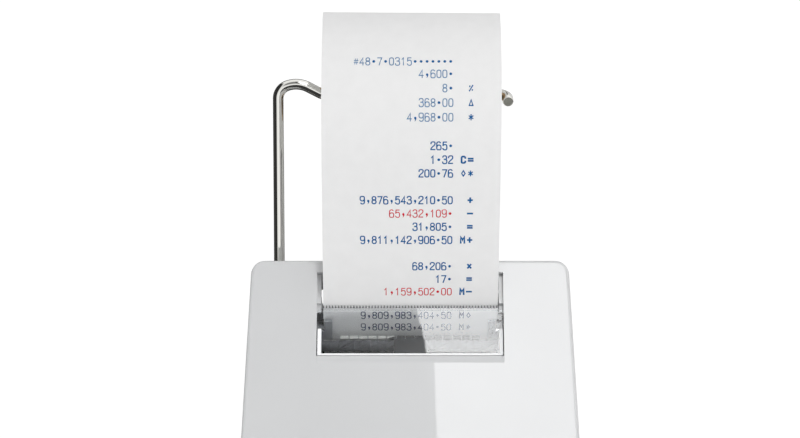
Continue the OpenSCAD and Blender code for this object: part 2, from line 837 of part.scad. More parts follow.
module gear(axis, teeth, x0, bore, turn) {
    pitch_r = gear_m * teeth / 2;
    tip_r = pitch_r + 0.8 * gear_m;
    root_r = pitch_r - 1.15 * gear_m;
    step = 360 / teeth;
    translate([x0, axis[0], axis[1]]) rotate([90, 0, 90]) rotate(turn) linear_extrude(gear_t) difference() {
        polygon([for (k = [0:teeth - 1]) each [
            root_r * [cos((k - 0.32) * step), sin((k - 0.32) * step)],
            tip_r * [cos((k - 0.11) * step), sin((k - 0.11) * step)],
            tip_r * [cos((k + 0.11) * step), sin((k + 0.11) * step)],
            root_r * [cos((k + 0.32) * step), sin((k + 0.32) * step)]
        ]]);
        circle(r = bore);
    }
}

module side_plate(x0) {
    y0 = frame_front_y;
    y1 = frame_rear_y;
    difference() {
        along_x([
            [y0, frame_z0], [y1, frame_z0], [y1, platen_z - 2], [platen[0] + 5, frame_top - 3],
            [platen[0] + 2, frame_top], [screw_axis[0] - 4, frame_top],
            [type_axis[0] - 6, platen_z + 6], [y0, platen_z]
        ], x0, x0 + plate_t);
        for (hole = [
            [platen, shaft_r], [pinch, 1.5], [type_axis, type_shaft_w * 0.72], [screw_axis, 1.2], [guide_axis, guide_r]
        ]) bar(hole[0], hole[1] + run_gap, x0 - 1, x0 + plate_t + 1);
    }
}

// A plate ahead of the rising tape, between two heights above the platen axis.
module paper_edge_guide(low, high, x0, x1) {
    near = 0.7;
    far = 1.9;
    run = [for (p = rising_tape) if (p[1] > platen_z + low && p[1] < platen_z + high) p];
    back = [for (p = run) [p[0] - near * sin(p[2]), p[1] + near * cos(p[2])]];
    front = [for (k = [len(run) - 1:-1:0]) [run[k][0] - far * sin(run[k][2]), run[k][1] + far * cos(run[k][2])]];
    along_x(concat(back, front), x0, x1);
}

module printer_frame() {
    half = frame_in / 2;
    chute_t = 1;
    lift = paper_t / 2 + 0.5;
    along = [cos(web_angle), sin(web_angle)];
    across = [sin(web_angle), -cos(web_angle)];
    chute_a = web_start + 2.5 * along + lift * across;
    chute_b = web_start + 11 * along + lift * across;
    color("dimgray") {
        side_plate(-half - plate_t);
        side_plate(half);
        box([-half - plate_t, frame_front_y, frame_z0], [half + plate_t, frame_rear_y, frame_z0 + base_t]);
        box([-half - eps, frame_front_y, frame_z0], [half + eps, frame_front_y + 1.5, platen_z - 4]);
        along_x([chute_a, chute_b, chute_b + chute_t * across, chute_a + chute_t * across], -half - eps, half + eps);
        // Guides at the two edges of the paper, ahead of it.
        for (side = [-1, 1]) {
            outer = side * (half + eps);
            inner = side * (paper_w / 2 - 3);
            edge = side * (paper_w / 2 - 0.6);
            paper_edge_guide(4, 13, min(outer, inner), max(outer, inner));
            paper_edge_guide(11, 17, min(edge, inner), max(edge, inner));
        }
        // Motor bracket beside the right plate.
        box([half, motor_axis[0] - motor_r, frame_z0], [bracket_x + bracket_t, motor_axis[0] + motor_r, frame_z0 + base_t]);
        difference() {
            box([bracket_x, motor_axis[0] - motor_r, frame_z0],
                [bracket_x + bracket_t, motor_axis[0] + motor_r, motor_axis[1] + 6]);
            bar(motor_axis, 1.6, bracket_x - 1, bracket_x + bracket_t + 1);
        }
        bar(idler_axis, idler_post_r, -gear_x - gear_t, -half - plate_t + eps);
    }
}

// Comb that holds the paper flat ahead of the type wheel.
module paper_guide() {
    half = paper_w / 2 - 4.6;
    finger_pitch = 3.1;
    finger_w = 2.7;
    finger_t = 1.1;
    bar_t = 0.4;
    fingers = floor(2 * half / finger_pitch);
    y0 = screw_axis[0] + screw_drive_r + 0.2;
    color("ivory") {
        box([-frame_in / 2, y0, platen_z + 8.8], [frame_in / 2, y0 + bar_t, platen_z + 9.8]);
        for (k = [0:fingers - 1]) {
            x = (k - (fingers - 1) / 2) * finger_pitch;
            box([x - finger_w / 2, y0, platen_z + 9.5], [x + finger_w / 2, y0 + finger_t, platen_z + 11.4]);
        }
    }
}

module platen_roller() {
    half = paper_w / 2 + 0.6;
    color("dimgray") bar(platen, platen_r, -half, half);
    color("silver") bar(platen, shaft_r, -gear_x - gear_t, frame_in / 2 + plate_t + 0.4);
}

module platen_gear() {
    color("ivory") gear(platen, platen_teeth, -gear_x - gear_t, shaft_r, 0);
}

// The idler is turned so that one of its gaps meets the platen gear's nearest tooth.
module feed_idler_gear() {
    step = 360 / platen_teeth;
    off = idler_angle - round(idler_angle / step) * step;
    turn = 180 + idler_angle + off * platen_teeth / idler_teeth + 180 / idler_teeth;
    color("ivory") gear(idler_axis, idler_teeth, -gear_x - gear_t, idler_post_r + run_gap, turn);
}

module pinch_roller() {
    half = paper_w / 2 - 6;
    color("dimgray") for (x0 = [-half, half - 14]) bar(pinch, pinch_r, x0, x0 + 14);
    color("silver") bar(pinch, 1.5, -frame_in / 2 - plate_t - 0.4, frame_in / 2 + plate_t + 0.4);
}

module guide_shaft() {
    color("silver") bar(guide_axis, guide_r, -frame_in / 2 - plate_t - 0.5, frame_in / 2 + plate_t + 0.5);
}

module carriage_screw() {
    half = frame_in / 2 - 0.6;
    turns = 4;
    color([0.2, 0.2, 0.22]) {
        translate([-half, screw_axis[0], screw_axis[1]]) rotate([90, 0, 90])
            linear_extrude(2 * half, twist = 360 * turns, slices = 6 * turns) difference() {
                circle(r = screw_drive_r, $fn = 12);
                translate([screw_drive_r, 0]) circle(r = 0.7, $fn = 4);
            }
        bar(screw_axis, 1.2, -frame_in / 2 - plate_t - 0.4, frame_in / 2 + plate_t + 0.4);
    }
}

module print_carriage() {
    y0 = type_axis[0] - 6;
    cheek = [
        [y0, guide_axis[1] - 3.5], [y0 + 7.5, guide_axis[1] - 3.5], [y0 + 8, platen_z - 5],
        [y0 + 9.5, platen_z - 3], [y0 + 9.5, platen_z + 5], [screw_axis[0] - screw_drive_r - 0.3, platen_z + 6.5],
        [screw_axis[0] - screw_drive_r - 0.3, cassette_top - 1.7], [y0, cassette_top - 1.7]
    ];
    half = carriage_half_w;
    color([0.22, 0.22, 0.24]) difference() {
        union() {
            for (x0 = [-half, half - cheek_t]) along_x(cheek, x0, x0 + cheek_t);
            box([-half, y0, guide_axis[1] - 3.5], [half, y0 + 7.5, guide_axis[1] + 3.2]);
            box([-half, y0 + 0.5, cassette_top - 1.9], [half, screw_axis[0] + 0.6, cassette_top]);
        }
        bar(guide_axis, guide_r + run_gap, -half - 1, half + 1);
        bar(type_axis, type_shaft_w * 0.72 + 0.3, -half - 1, half + 1);
        bar(ink_axis, 1 + run_gap, -half - 1, half + 1);
    }
}

module ink_roller() {
    color("indigo") {
        bar(ink_axis, ink_r, -wheel_w / 2, wheel_w / 2);
        bar(ink_axis, 1, -carriage_half_w + 0.1, carriage_half_w - 0.1);
    }
}

module type_wheel() {
    ribs = 14;
    color("slategray") difference() {
        union() {
            bar(type_axis, wheel_r - 0.4, -wheel_w / 2, wheel_w / 2);
            for (k = [0:ribs - 1]) translate([0, type_axis[0], type_axis[1]]) rotate([k * 360 / ribs, 0, 0])
                translate([-wheel_w / 2 + 0.5, wheel_r - 1.2, -0.6]) cube([wheel_w - 1, 1.1, 1.2]);
        }
        square_bar(type_shaft_w + 0.2, -wheel_w, wheel_w);
    }
}

module square_bar(w, x0, x1) {
    box([x0, type_axis[0] - w / 2, type_axis[1] - w / 2], [x1, type_axis[0] + w / 2, type_axis[1] + w / 2]);
}

module type_shaft() {
    journal_r = type_shaft_w * 0.72;
    half = frame_in / 2 - 0.3;
    color("silver") {
        square_bar(type_shaft_w, -half, half);
        bar(type_axis, journal_r, -half - plate_t - 0.6, -half + eps);
        bar(type_axis, journal_r, half - eps, gear_x + gear_t);
    }
}

module type_gear() {
    color("ivory") gear(type_axis, type_teeth, gear_x, type_shaft_w * 0.72, motor_angle);
}

module motor_pinion() {
    color("gold") gear(motor_axis, pinion_teeth, gear_x, motor_shaft_r, 180 + motor_angle + 180 / pinion_teeth);
}

module printer_motor() {
    x0 = bracket_x + bracket_t;
    color("silver") {
        bar(motor_axis, motor_r, x0, x0 + motor_l);
        bar(motor_axis, motor_shaft_r + 0.4, x0 - bracket_t - 0.2, x0 + 1);
    }
}

// ---------------------------------------------------------------- paper

// Points along the tape, each [y, z, elevation], from the end of the wrap.
function walk(at, bends, k) = k == len(bends) ? [at] :
    let (
        steps = ceil(bends[k][0] / tape_step),
        part = bends[k][0] / steps,
        turn = (bends[k][1] - at[2]) / steps,
        run = [for (i = 0, p = at; i <= steps; i = i + 1,
            p = [p[0] + part * cos(p[2] + turn / 2), p[1] + part * sin(p[2] + turn / 2), p[2] + turn]) p]
    ) concat([for (i = [0:steps - 1]) run[i]], walk(run[steps], bends, k + 1));

wrap_end = platen + wrap_r * [cos(depart_angle), sin(depart_angle)];
rising_tape = walk([wrap_end[0], wrap_end[1], depart_angle - 90], tape_bends, 0);
wrap_steps = 12;
wrap_turn = web_angle - 90 + 360 - depart_angle;
tape_path = concat(
    [[web_split_y, web_start[1] + (web_split_y - web_start[0]) * tan(web_angle), 180 + web_angle]],
    [for (k = [0:wrap_steps - 1]) let (a = web_angle - 90 - wrap_turn * k / wrap_steps)
        [platen[0] + wrap_r * cos(a), platen[1] + wrap_r * sin(a), a - 90]],
    rising_tape
);

// A strip of paper along [y, z, elevation] points, each drawn once.
module strip(path) {
    side = paper_t / 2;
    left = [for (p = path) [p[0] - side * sin(p[2]), p[1] + side * cos(p[2])]];
    right = [for (k = [len(path) - 1:-1:0]) [path[k][0] + side * sin(path[k][2]), path[k][1] - side * cos(path[k][2])]];
    along_x(concat(left, right), -paper_w / 2, paper_w / 2);
}

module paper_tape() {
    color("white") strip(tape_path);
}

module paper_web() {
    color("white") strip([
        [web_split_y, web_start[1] + (web_split_y - web_start[0]) * tan(web_angle), web_angle],
        [web_end[0], web_end[1], web_angle]
    ]);
}

module roll_core() {
    color("tan") difference() {
        bar(roll_centre, core_r, -paper_w / 2, paper_w / 2);
        bar(roll_centre, core_in_r, -paper_w, paper_w);
    }
}

module paper_roll() {
    color("white") difference() {
        bar(roll_centre, roll_r, -paper_w / 2, paper_w / 2);
        bar(roll_centre, core_r, -paper_w, paper_w);
    }
}

// ---------------------------------------------------------------- wire arm

// Bent wire: each step is [straight length, bend radius, bend angle, turn of the
// bend about the wire]. It starts along +Z and bends towards +X. A faint knuckle at
// each end of a bend makes it one piece with the straights.
module wire(steps, k = 0) {
    knuckle = 0.02;
    if (k < len(steps)) {
        step = steps[k];
        cylinder(d = wire_d, h = step[0]);
        if (k > 0) sphere(d = wire_d + 2 * knuckle);
        if (step[2] > 0) translate([0, 0, step[0]]) rotate(step[3]) {
            if (step[0] > 1) sphere(d = wire_d + 2 * knuckle);
            translate([step[1], 0, 0]) mirror([1, 0, 0]) rotate([90, 0, 0])
                rotate_extrude(angle = step[2]) translate([step[1], 0]) circle(d = wire_d);
            translate([step[1] * (1 - cos(step[2])), 0, step[1] * sin(step[2])]) rotate([0, step[2], 0])
                wire(steps, k + 1);
        }
    }
}

// The pin in the bracket, the leg, an arch over to the right, the axle of the
// roll, and a tip that turns out of the plane of the arm.
module paper_arm() {
    first = 70;
    first_r = 4.5;
    fall = 27;
    arch = 90 + fall - first;
    arch_r = 9;
    arch_run = 4.4;
    settle_r = 3;
    tip_r = 4;
    tip_l = 2.5;
    tip_turn = 110;
    collar_w = 0.7;
    collar_l = 1;
    pin_l = arm_x - bend_r + barrel_x + barrel_l + 0.3;
    arch_height = first_r * sin(first) + arch_r * (sin(first + arch) - sin(first))
        + arch_run * cos(first + arch) - settle_r * (1 - cos(fall));
    leg_l = arm_l - bend_r - arch_height;
    axle_l = paper_w + 0.15;
    color("silver") translate([-arm_x + bend_r + pin_l, pivot[0], pivot[1]]) rotate([arm_angle, 0, 0])
        rotate([0, -90, 0]) wire([
            [pin_l, bend_r, 90, 90],
            [leg_l, first_r, first, 0],
            [eps, arch_r, arch, 0],
            [arch_run, settle_r, fall, 180],
            [axle_l, tip_r, 90, tip_turn],
            [tip_l, 0, 0, 0]
        ]);
    color("silver") translate([-arm_x + bend_r + pin_l - eps, pivot[0], pivot[1]]) rotate([0, 90, 0])
        cylinder(d = wire_d + 2 * collar_w, h = collar_l);
}

module arm_bracket() {
    plate_h = 12;
    plate_w = barrel_l + 4.6;
    x1 = barrel_x + barrel_l;
    color("white") difference() {
        union() {
            box([barrel_x, rear_y, pivot_z - plate_h / 2], [barrel_x + plate_w, rear_y + 1.6, pivot_z + plate_h / 2]);
            box([barrel_x, rear_y, pivot_z - 2], [x1, pivot[0], pivot_z + 2]);
            bar(pivot, barrel_r, barrel_x, x1);
        }
        bar(pivot, wire_d / 2 + run_gap, barrel_x - 1, x1 + 1);
    }
}

top_case();
bottom_case();
printer_cover();
display_lens();
lcd_panel();
slide_knob_left();
slide_knob_right();
keypad_membrane();
main_board();
battery_door();
batteries();
battery_contacts();
dc_jack();
rubber_feet();
case_screws();
printer_frame();
paper_guide();
platen_roller();
platen_gear();
feed_idler_gear();
pinch_roller();
guide_shaft();
carriage_screw();
print_carriage();
ink_roller();
type_wheel();
type_shaft();
type_gear();
printer_motor();
motor_pinion();
arm_bracket();
paper_arm();
roll_core();
paper_roll();
paper_web();
paper_tape();
for (key = KEYS) key_cap(key);
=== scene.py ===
"""Looks for a compact printing calculator: finishes, paper and wire, print, legends, light and camera."""
import json
import math
import bpy
from mathutils import Matrix, Vector
from mathutils.bvhtree import BVHTree


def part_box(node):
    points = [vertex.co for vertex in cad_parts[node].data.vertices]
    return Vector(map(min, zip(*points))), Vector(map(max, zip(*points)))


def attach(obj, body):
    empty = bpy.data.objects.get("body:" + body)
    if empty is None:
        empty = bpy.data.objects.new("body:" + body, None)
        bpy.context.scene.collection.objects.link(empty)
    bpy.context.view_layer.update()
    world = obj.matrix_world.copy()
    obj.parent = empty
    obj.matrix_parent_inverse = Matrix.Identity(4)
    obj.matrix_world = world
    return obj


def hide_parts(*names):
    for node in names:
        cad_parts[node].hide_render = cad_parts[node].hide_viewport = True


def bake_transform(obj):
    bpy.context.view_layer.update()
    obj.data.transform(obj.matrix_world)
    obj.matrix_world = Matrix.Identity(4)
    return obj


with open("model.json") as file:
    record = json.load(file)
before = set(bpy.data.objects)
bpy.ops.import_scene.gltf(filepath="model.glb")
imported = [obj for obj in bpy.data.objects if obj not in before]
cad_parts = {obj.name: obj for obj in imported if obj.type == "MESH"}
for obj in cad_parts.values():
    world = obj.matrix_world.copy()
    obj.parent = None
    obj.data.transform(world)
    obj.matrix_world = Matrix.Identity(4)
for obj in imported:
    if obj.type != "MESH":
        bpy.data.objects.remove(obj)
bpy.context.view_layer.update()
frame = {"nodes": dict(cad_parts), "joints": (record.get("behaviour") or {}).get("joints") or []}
nodes = frame["nodes"]
# A millimetre in the frame's metres.
MM = 0.001
WHITE = (1, 1, 1, 1)

# ---------------------------------------------------------------- sizes, millimetres and degrees

DISPLAY_TILT = 12
KEY_TILT = 6
PAPER_W = 57.5
PAPER_T = 0.12
# The tape beyond the platen: length of each bend and the elevation at its end.
TAPE_BENDS = [(25, 57), (12, 52.5), (28, 53.5), (12, 47), (9, 37), (18.5, 11), (21, -27)]
# Where the tape leaves the platen, and how far the middle of the paper is off platen and roll.
DEPART_ANGLE = 157.5
WRAP_GAP = 0.275
WEB_GAP = 0.325


def linear(level):
    """One channel of a display colour, 0 to 255, as linear light."""
    return level / 255 / 12.92 if level <= 10 else ((level / 255 + 0.055) / 1.055) ** 2.4


def rgb(r, g, b):
    """A display colour, 0 to 255, as an opaque colour in linear light."""
    return (linear(r), linear(g), linear(b), 1)


def cosd(angle):
    """The cosine of an angle in degrees."""
    return math.cos(math.radians(angle))


def sind(angle):
    """The sine of an angle in degrees."""
    return math.sin(math.radians(angle))


# ---------------------------------------------------------------- shader nodes

BUMP_DEPTH = 0.1 * MM


def feed(tree, value, socket):
    """Link another node's output to a socket, or set the socket to a plain value."""
    if isinstance(value, bpy.types.NodeSocket):
        tree.links.new(value, socket)
    else:
        socket.default_value = value


def made(tree, kind, **values):
    """A new shader node, its sockets fed by name."""
    node = tree.nodes.new("ShaderNode" + kind)
    for name, value in values.items():
        feed(tree, value, node.inputs[name.replace("_", " ")])
    return node


def math_node(tree, kind, operation, values):
    """A new math node with its operation, its sockets fed in order."""
    node = made(tree, kind)
    node.operation = operation
    for socket, value in zip(node.inputs, values):
        feed(tree, value, socket)
    return node


def maths(tree, operation, *values):
    """The result of a math node over other nodes' outputs and plain numbers."""
    return math_node(tree, "Math", operation, values).outputs["Value"]


def vector_maths(tree, operation, *values):
    """The vector that a vector math node gives."""
    return math_node(tree, "VectorMath", operation, values).outputs["Vector"]


def vector_measure(tree, operation, *values):
    """The number that a vector math node gives."""
    return math_node(tree, "VectorMath", operation, values).outputs["Value"]


def mixed(tree, share, first, second):
    """Two shaders mixed by the share of the second."""
    mix = made(tree, "MixShader", Fac=share)
    tree.links.new(first, mix.inputs[1])
    tree.links.new(second, mix.inputs[2])
    return mix.outputs["Shader"]


def ramp(tree, value, stops, sharp=False):
    """A grade of colours over a 0 to 1 value, smooth or in steps; each stop is (position, colour)."""
    node = made(tree, "ValToRGB", Fac=value)
    grade = node.color_ramp
    if sharp:
        grade.interpolation = "CONSTANT"
    for end in (0, -1):
        grade.elements[end].position, grade.elements[end].color = stops[end]
    for position, colour in stops[1:-1]:
        grade.elements.new(position).color = colour
    return node.outputs["Color"]


def graded(tree, value, stops, sharp=False, tint=(1, 1, 1)):
    """A grade of grey or tinted levels; each stop is (position, level)."""
    shades = [(at, tuple(level * part for part in tint) + (1,)) for at, level in stops]
    return ramp(tree, value, shades, sharp)


def bumped(tree, height, strength):
    """Give the tree's own Principled shader a fine relief."""
    bump = made(tree, "Bump", Strength=strength, Distance=BUMP_DEPTH, Height=height)
    tree.links.new(bump.outputs["Normal"], tree.nodes["Principled BSDF"].inputs["Normal"])


def emptied(owner):
    """The node tree of a new material or world, with nothing in it."""
    owner.use_nodes = True
    owner.node_tree.nodes.clear()
    return owner.node_tree


# ---------------------------------------------------------------- materials

GRAIN_DETAIL = 3
MOTTLE_DETAIL = 4
MOTTLE_DARK_AT = 0.3
MOTTLE_LIGHT_AT = 0.7


def finish(name, colour, rough, grain=0.0, grain_mm=0.4, mottle=0.0, mottle_mm=8, **sockets):
    """A Principled finish with fine grain in its bump and a soft drift in its colour."""
    material = bpy.data.materials.new(name)
    material.use_nodes = True
    tree = material.node_tree
    shader = tree.nodes["Principled BSDF"]
    shader.inputs["Base Color"].default_value = colour
    shader.inputs["Roughness"].default_value = rough
    for key, value in sockets.items():
        shader.inputs[key.replace("_", " ")].default_value = value
    place = made(tree, "TexCoord").outputs["Object"]
    if grain:
        noise = made(tree, "TexNoise", Vector=place, Scale=1 / MM / grain_mm, Detail=GRAIN_DETAIL)
        bumped(tree, noise.outputs["Fac"], grain)
    if mottle:
        drift = made(tree, "TexNoise", Vector=place, Scale=1 / MM / mottle_mm, Detail=MOTTLE_DETAIL)
        dark = tuple(c * (1 - mottle) for c in colour[:3]) + (1,)
        light = tuple(min(1, c * (1 + mottle)) for c in colour[:3]) + (1,)
        shade = ramp(tree, drift.outputs["Fac"], [(MOTTLE_DARK_AT, dark), (MOTTLE_LIGHT_AT, light)])
        tree.links.new(shade, shader.inputs["Base Color"])
    return material


INK = {"mottle_mm": 0.5, "Specular_IOR_Level": 0.2}
ACRYLIC_IOR = 1.49
FROST = {"grain": 0.1, "grain_mm": 0.3, "IOR": ACRYLIC_IOR, "Specular_IOR_Level": 0.1}

# Each finish: name, colour, roughness, grain and its size, mottle and its size, other sockets.
case_white = finish("case_white", rgb(222, 223, 224), 0.012, 0.004, 1.5, 0.012, 30, IOR=1.5)
case_grey = finish("case_grey", rgb(196, 198, 201), 0.38, 0.12, 0.5, 0.02, 12)
paper = finish("paper", rgb(243, 243, 243), 0.75, 0.12, 0.25, 0.012, 4, Specular_IOR_Level=0.25)
ink_blue = finish("ink_blue", rgb(0, 92, 154), 0.6, mottle=0.12, **INK)
ink_faint = finish("ink_faint", rgb(84, 128, 172), 0.6, mottle=0.15, **INK)
ink_slate = finish("ink_slate", rgb(52, 66, 104), 0.6, mottle=0.15, **INK)
ink_red = finish("ink_red", rgb(206, 20, 40), 0.6, mottle=0.12, **INK)
chrome = finish("chrome", rgb(238, 237, 232), 0.05, 0.02, 0.8, Metallic=1.0)
cut_end = finish("cut_end", rgb(150, 150, 142), 0.5, 0.3, 0.3, 0.1, 0.6, Metallic=0.6)
steel = finish("steel", rgb(186, 188, 190), 0.28, 0.08, 0.3, 0.04, 2, Metallic=1.0)
brass = finish("brass", rgb(214, 176, 96), 0.3, 0.05, 0.3, 0.04, 2, Metallic=1.0)
clear = finish(
    "clear", rgb(255, 255, 255), 0.0, Transmission_Weight=1.0, IOR=ACRYLIC_IOR,
    Coat_Weight=0.5, Coat_IOR=1.5, Coat_Roughness=0.0)
# The rim's frost has a painted glow, a faint white emission that on the front lip is a painted highlight for
# its glinting edge; the second frost is the same without the glow, for the right skirt.
frosted_glow = finish("frosted_glow", rgb(250, 251, 252), 0.45, **FROST, Emission_Color=WHITE, Emission_Strength=0.15)
frosted_no_glow = finish("frosted_no_glow", rgb(250, 251, 252), 0.45, **FROST)
# Tooth tips painted dark: painted shade for the shade and refraction in the cover's clear teeth.
tooth_painted_shade = finish("tooth_painted_shade", rgb(84, 86, 90), 0.3, 0.05, 0.3, IOR=ACRYLIC_IOR)
printer_grey = finish("printer_grey", rgb(176, 178, 182), 0.42, 0.15, 0.3, 0.06, 3)
printer_black = finish("printer_black", rgb(44, 45, 48), 0.3, 0.1, 0.3, 0.06, 3)
thread_grey = finish("thread_grey", rgb(122, 123, 127), 0.35, 0.1, 0.3, 0.06, 1)
comb_white = finish("comb_white", rgb(242, 242, 236), 0.45, 0.1, 0.3, 0.02, 2)
ivory = finish("ivory", rgb(216, 212, 198), 0.45, 0.1, 0.3, 0.03, 2)
rubber = finish("rubber", rgb(58, 58, 60), 0.7, 0.25, 0.2, 0.06, 2)
foot_rubber = finish("foot_rubber", rgb(74, 75, 78), 0.8, 0.3, 0.3, 0.05, 2)
key_white = finish("key_white", rgb(238, 239, 240), 0.28, 0.06, 0.5, 0.01, 10)
key_blue = finish("key_blue", rgb(150, 163, 182), 0.28, 0.06, 0.5, 0.012, 10)
legend_dark = finish("legend_dark", rgb(44, 50, 62), 0.45, mottle=0.05, mottle_mm=1)
legend_white = finish("legend_white", rgb(244, 245, 246), 0.45, mottle=0.02, mottle_mm=1)
knob_grey = finish("knob_grey", rgb(120, 130, 146), 0.35, 0.1, 0.4, 0.02, 4)
lens = finish("lens", rgb(222, 227, 225), 0.02, Transmission_Weight=0.97, IOR=ACRYLIC_IOR)
lcd_mark = finish("lcd_mark", rgb(34, 38, 40), 0.4, mottle=0.05, mottle_mm=1)
lcd_mask = finish("lcd_mask", rgb(58, 61, 66), 0.35, 0.05, 0.3, 0.03, 3)
lcd = finish("lcd", rgb(158, 170, 152), 0.25, 0.05, 0.2, 0.02, 6)
board = finish("board", rgb(34, 92, 58), 0.35, 0.1, 0.4, 0.08, 3)
silicone = finish("silicone", rgb(206, 208, 210), 0.55, 0.1, 0.4, 0.02, 4)
battery = finish("battery", rgb(52, 98, 72), 0.35, 0.03, 0.3, 0.03, 5)
core_board = finish("core_board", rgb(176, 148, 112), 0.8, 0.3, 0.3, 0.06, 2)
ink_felt = finish("ink_felt", rgb(52, 38, 98), 0.9, 0.4, 0.3, 0.1, 1)
type_rubber = finish("type_rubber", rgb(86, 90, 98), 0.6, 0.1, 0.2, 0.06, 1)

PAINT = {
    "bottom_case": case_grey, "printer_cover": clear, "display_lens": lens, "lcd_panel": lcd,
    "slide_knob_left": knob_grey, "slide_knob_right": knob_grey, "keypad_membrane": silicone,
    "main_board": board, "battery_door": case_grey, "batteries": battery, "battery_contacts": steel,
    "dc_jack": printer_black, "rubber_feet": foot_rubber, "case_screws": steel,
    "printer_frame": printer_grey, "paper_guide": comb_white, "platen_roller": rubber, "platen_gear": ivory,
    "feed_idler_gear": ivory, "pinch_roller": rubber, "guide_shaft": steel, "carriage_screw": thread_grey,
    "print_carriage": printer_black, "ink_roller": ink_felt, "type_wheel": type_rubber, "type_shaft": steel,
    "type_gear": ivory, "printer_motor": steel, "motor_pinion": brass, "arm_bracket": case_white,
    "roll_core": core_board, "top_case": case_white,
}


def paint(node, material):
    """Give a solid one material all over."""
    mesh = nodes[node].data
    mesh.materials.clear()
    mesh.materials.append(material)


for node, material in PAINT.items():
    paint(node, material)

# The comb of the paper guide is white to the left of the carriage's middle place, and dark beyond.
COMB_SPLIT_X = -6.5
comb = nodes["paper_guide"].data
comb.materials.append(printer_black)
for face in comb.polygons:
    if face.center.x / MM > COMB_SPLIT_X:
        face.material_index = 1

# ---------------------------------------------------------------- clear cover

DECK_AT = Vector((0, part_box("top_case")[1].y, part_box("top_case")[1].z)) / MM
SKIRT_T = 1.2
RIM_RUN = 9
# Width of the front lip's frost and painted glow, a painted highlight along its edge.
LIP_GLINT_W = 0.45
# How far back from their tips the teeth are painted dark as painted shade.
TOOTH_TIP = 1.0
COVER_TINT = (0.97, 0.988, 1.0)
# A painted shade in the cover's colour, darkest a little behind its front lip, and how much light falls
# through it, from its front lip at 0 to the tips of its teeth at 1.
COVER_PAINTED_SHADE = [(0, 0.93), (0.3, 0.9), (0.42, 0.8), (0.6, 0.95), (0.8, 1)]
LIGHT_THROUGH = [(0.45, 0), (0.75, 0.8), (1, 0.8)]
# The faces to frost are looked for with this much slack; one that looks up more than UPWARD stays clear.
SKIRT_SLACK = 0.05
LIP_SLACK = 0.1
RIM_SLACK = 2
UPWARD = 0.9
# What a zone of the cover takes over from a finish of its own.
ZONE_SOCKETS = ("Base Color", "Roughness", "IOR", "Specular IOR Level", "Emission Color", "Emission Strength")
to_deck = Matrix.Rotation(math.radians(-DISPLAY_TILT), 3, "X")


def deck_place(point):
    """A point of the frame, metres, in the upper deck's own x, v, n, millimetres."""
    return to_deck @ (point / MM - DECK_AT)


cover_mesh = nodes["printer_cover"].data
cover_mesh.materials.append(frosted_glow)
cover_mesh.materials.append(frosted_no_glow)
cover_places = [deck_place(v.co) for v in cover_mesh.vertices]
cover_half_w = max(p.x for p in cover_places)
cover_front = min(p.y for p in cover_places)
cover_l = max(p.y for p in cover_places) - cover_front
# The skirts and front lip take the frost with its painted glow, and the right skirt the same frost without
# it.
for face in cover_mesh.polygons:
    centre = deck_place(face.center)
    at_side = abs(centre.x) > cover_half_w - SKIRT_T - SKIRT_SLACK
    at_front = centre.y < cover_front + (RIM_RUN + RIM_SLACK if at_side else LIP_SLACK)
    if at_front and (to_deck @ face.normal).z < UPWARD:
        face.material_index = 2 if at_side and centre.x > 0 else 1


def cover_zones():
    """Painted shade in the clear cover towards its front, a frosted rim with a painted glow, and tooth tips
    painted dark as painted shade.
    """
    tree = clear.node_tree
    shader = tree.nodes["Principled BSDF"]
    place = made(tree, "TexCoord").outputs["Object"]
    up_deck = Vector((0, cosd(DISPLAY_TILT), sind(DISPLAY_TILT))) / MM
    front_at = DECK_AT.y * cosd(DISPLAY_TILT) + DECK_AT.z * sind(DISPLAY_TILT) + cover_front
    past_front = maths(tree, "SUBTRACT", vector_measure(tree, "DOT_PRODUCT", place, up_deck), front_at)
    run = maths(tree, "MULTIPLY", past_front, 1 / cover_l)
    x = made(tree, "SeparateXYZ", Vector=place).outputs["X"]
    from_middle = maths(tree, "MULTIPLY", maths(tree, "ABSOLUTE", x), 1 / (cover_half_w * MM))
    # Painted shade: the cover's colour darkens towards its front, shading the paper under it.
    tree.links.new(graded(tree, run, COVER_PAINTED_SHADE, tint=COVER_TINT), shader.inputs["Base Color"])
    beside = graded(tree, from_middle, [(0, 0), (1 - SKIRT_T / cover_half_w, 1)], True)
    forward = graded(tree, run, [(0, 1), (RIM_RUN / cover_l, 0)], True)
    front = graded(tree, run, [(0, 1), (LIP_GLINT_W / cover_l, 0)], True)
    tooth_shade = graded(tree, run, [(0, 0), (1 - TOOTH_TIP / cover_l, 1)], True)
    skirt = maths(tree, "MULTIPLY", beside, forward)
    right_skirt = maths(tree, "MULTIPLY", skirt, maths(tree, "GREATER_THAN", x, 0))
    # The rim takes the frost with its painted glow; the right skirt takes the frost without the glow.
    glowing_rim = maths(tree, "MAXIMUM", skirt, front)
    look = shader.outputs["BSDF"]
    for mask, zone in ((glowing_rim, frosted_glow), (right_skirt, frosted_no_glow), (tooth_shade, tooth_painted_shade)):
        zone_shader = zone.node_tree.nodes["Principled BSDF"]
        other = made(tree, "BsdfPrincipled")
        for socket in ZONE_SOCKETS:
            other.inputs[socket].default_value = zone_shader.inputs[socket].default_value
        look = mixed(tree, mask, look, other.outputs["BSDF"])
    # Light falls through the cover freely near the teeth and less and less towards the front.
    shadow_ray = made(tree, "LightPath").outputs["Is Shadow Ray"]
    passing = maths(tree, "MULTIPLY", shadow_ray, graded(tree, run, LIGHT_THROUGH))
    look = mixed(tree, passing, look, made(tree, "BsdfTransparent").outputs["BSDF"])
    tree.links.new(look, tree.nodes["Material Output"].inputs["Surface"])


cover_zones()

# ---------------------------------------------------------------- mesh helpers

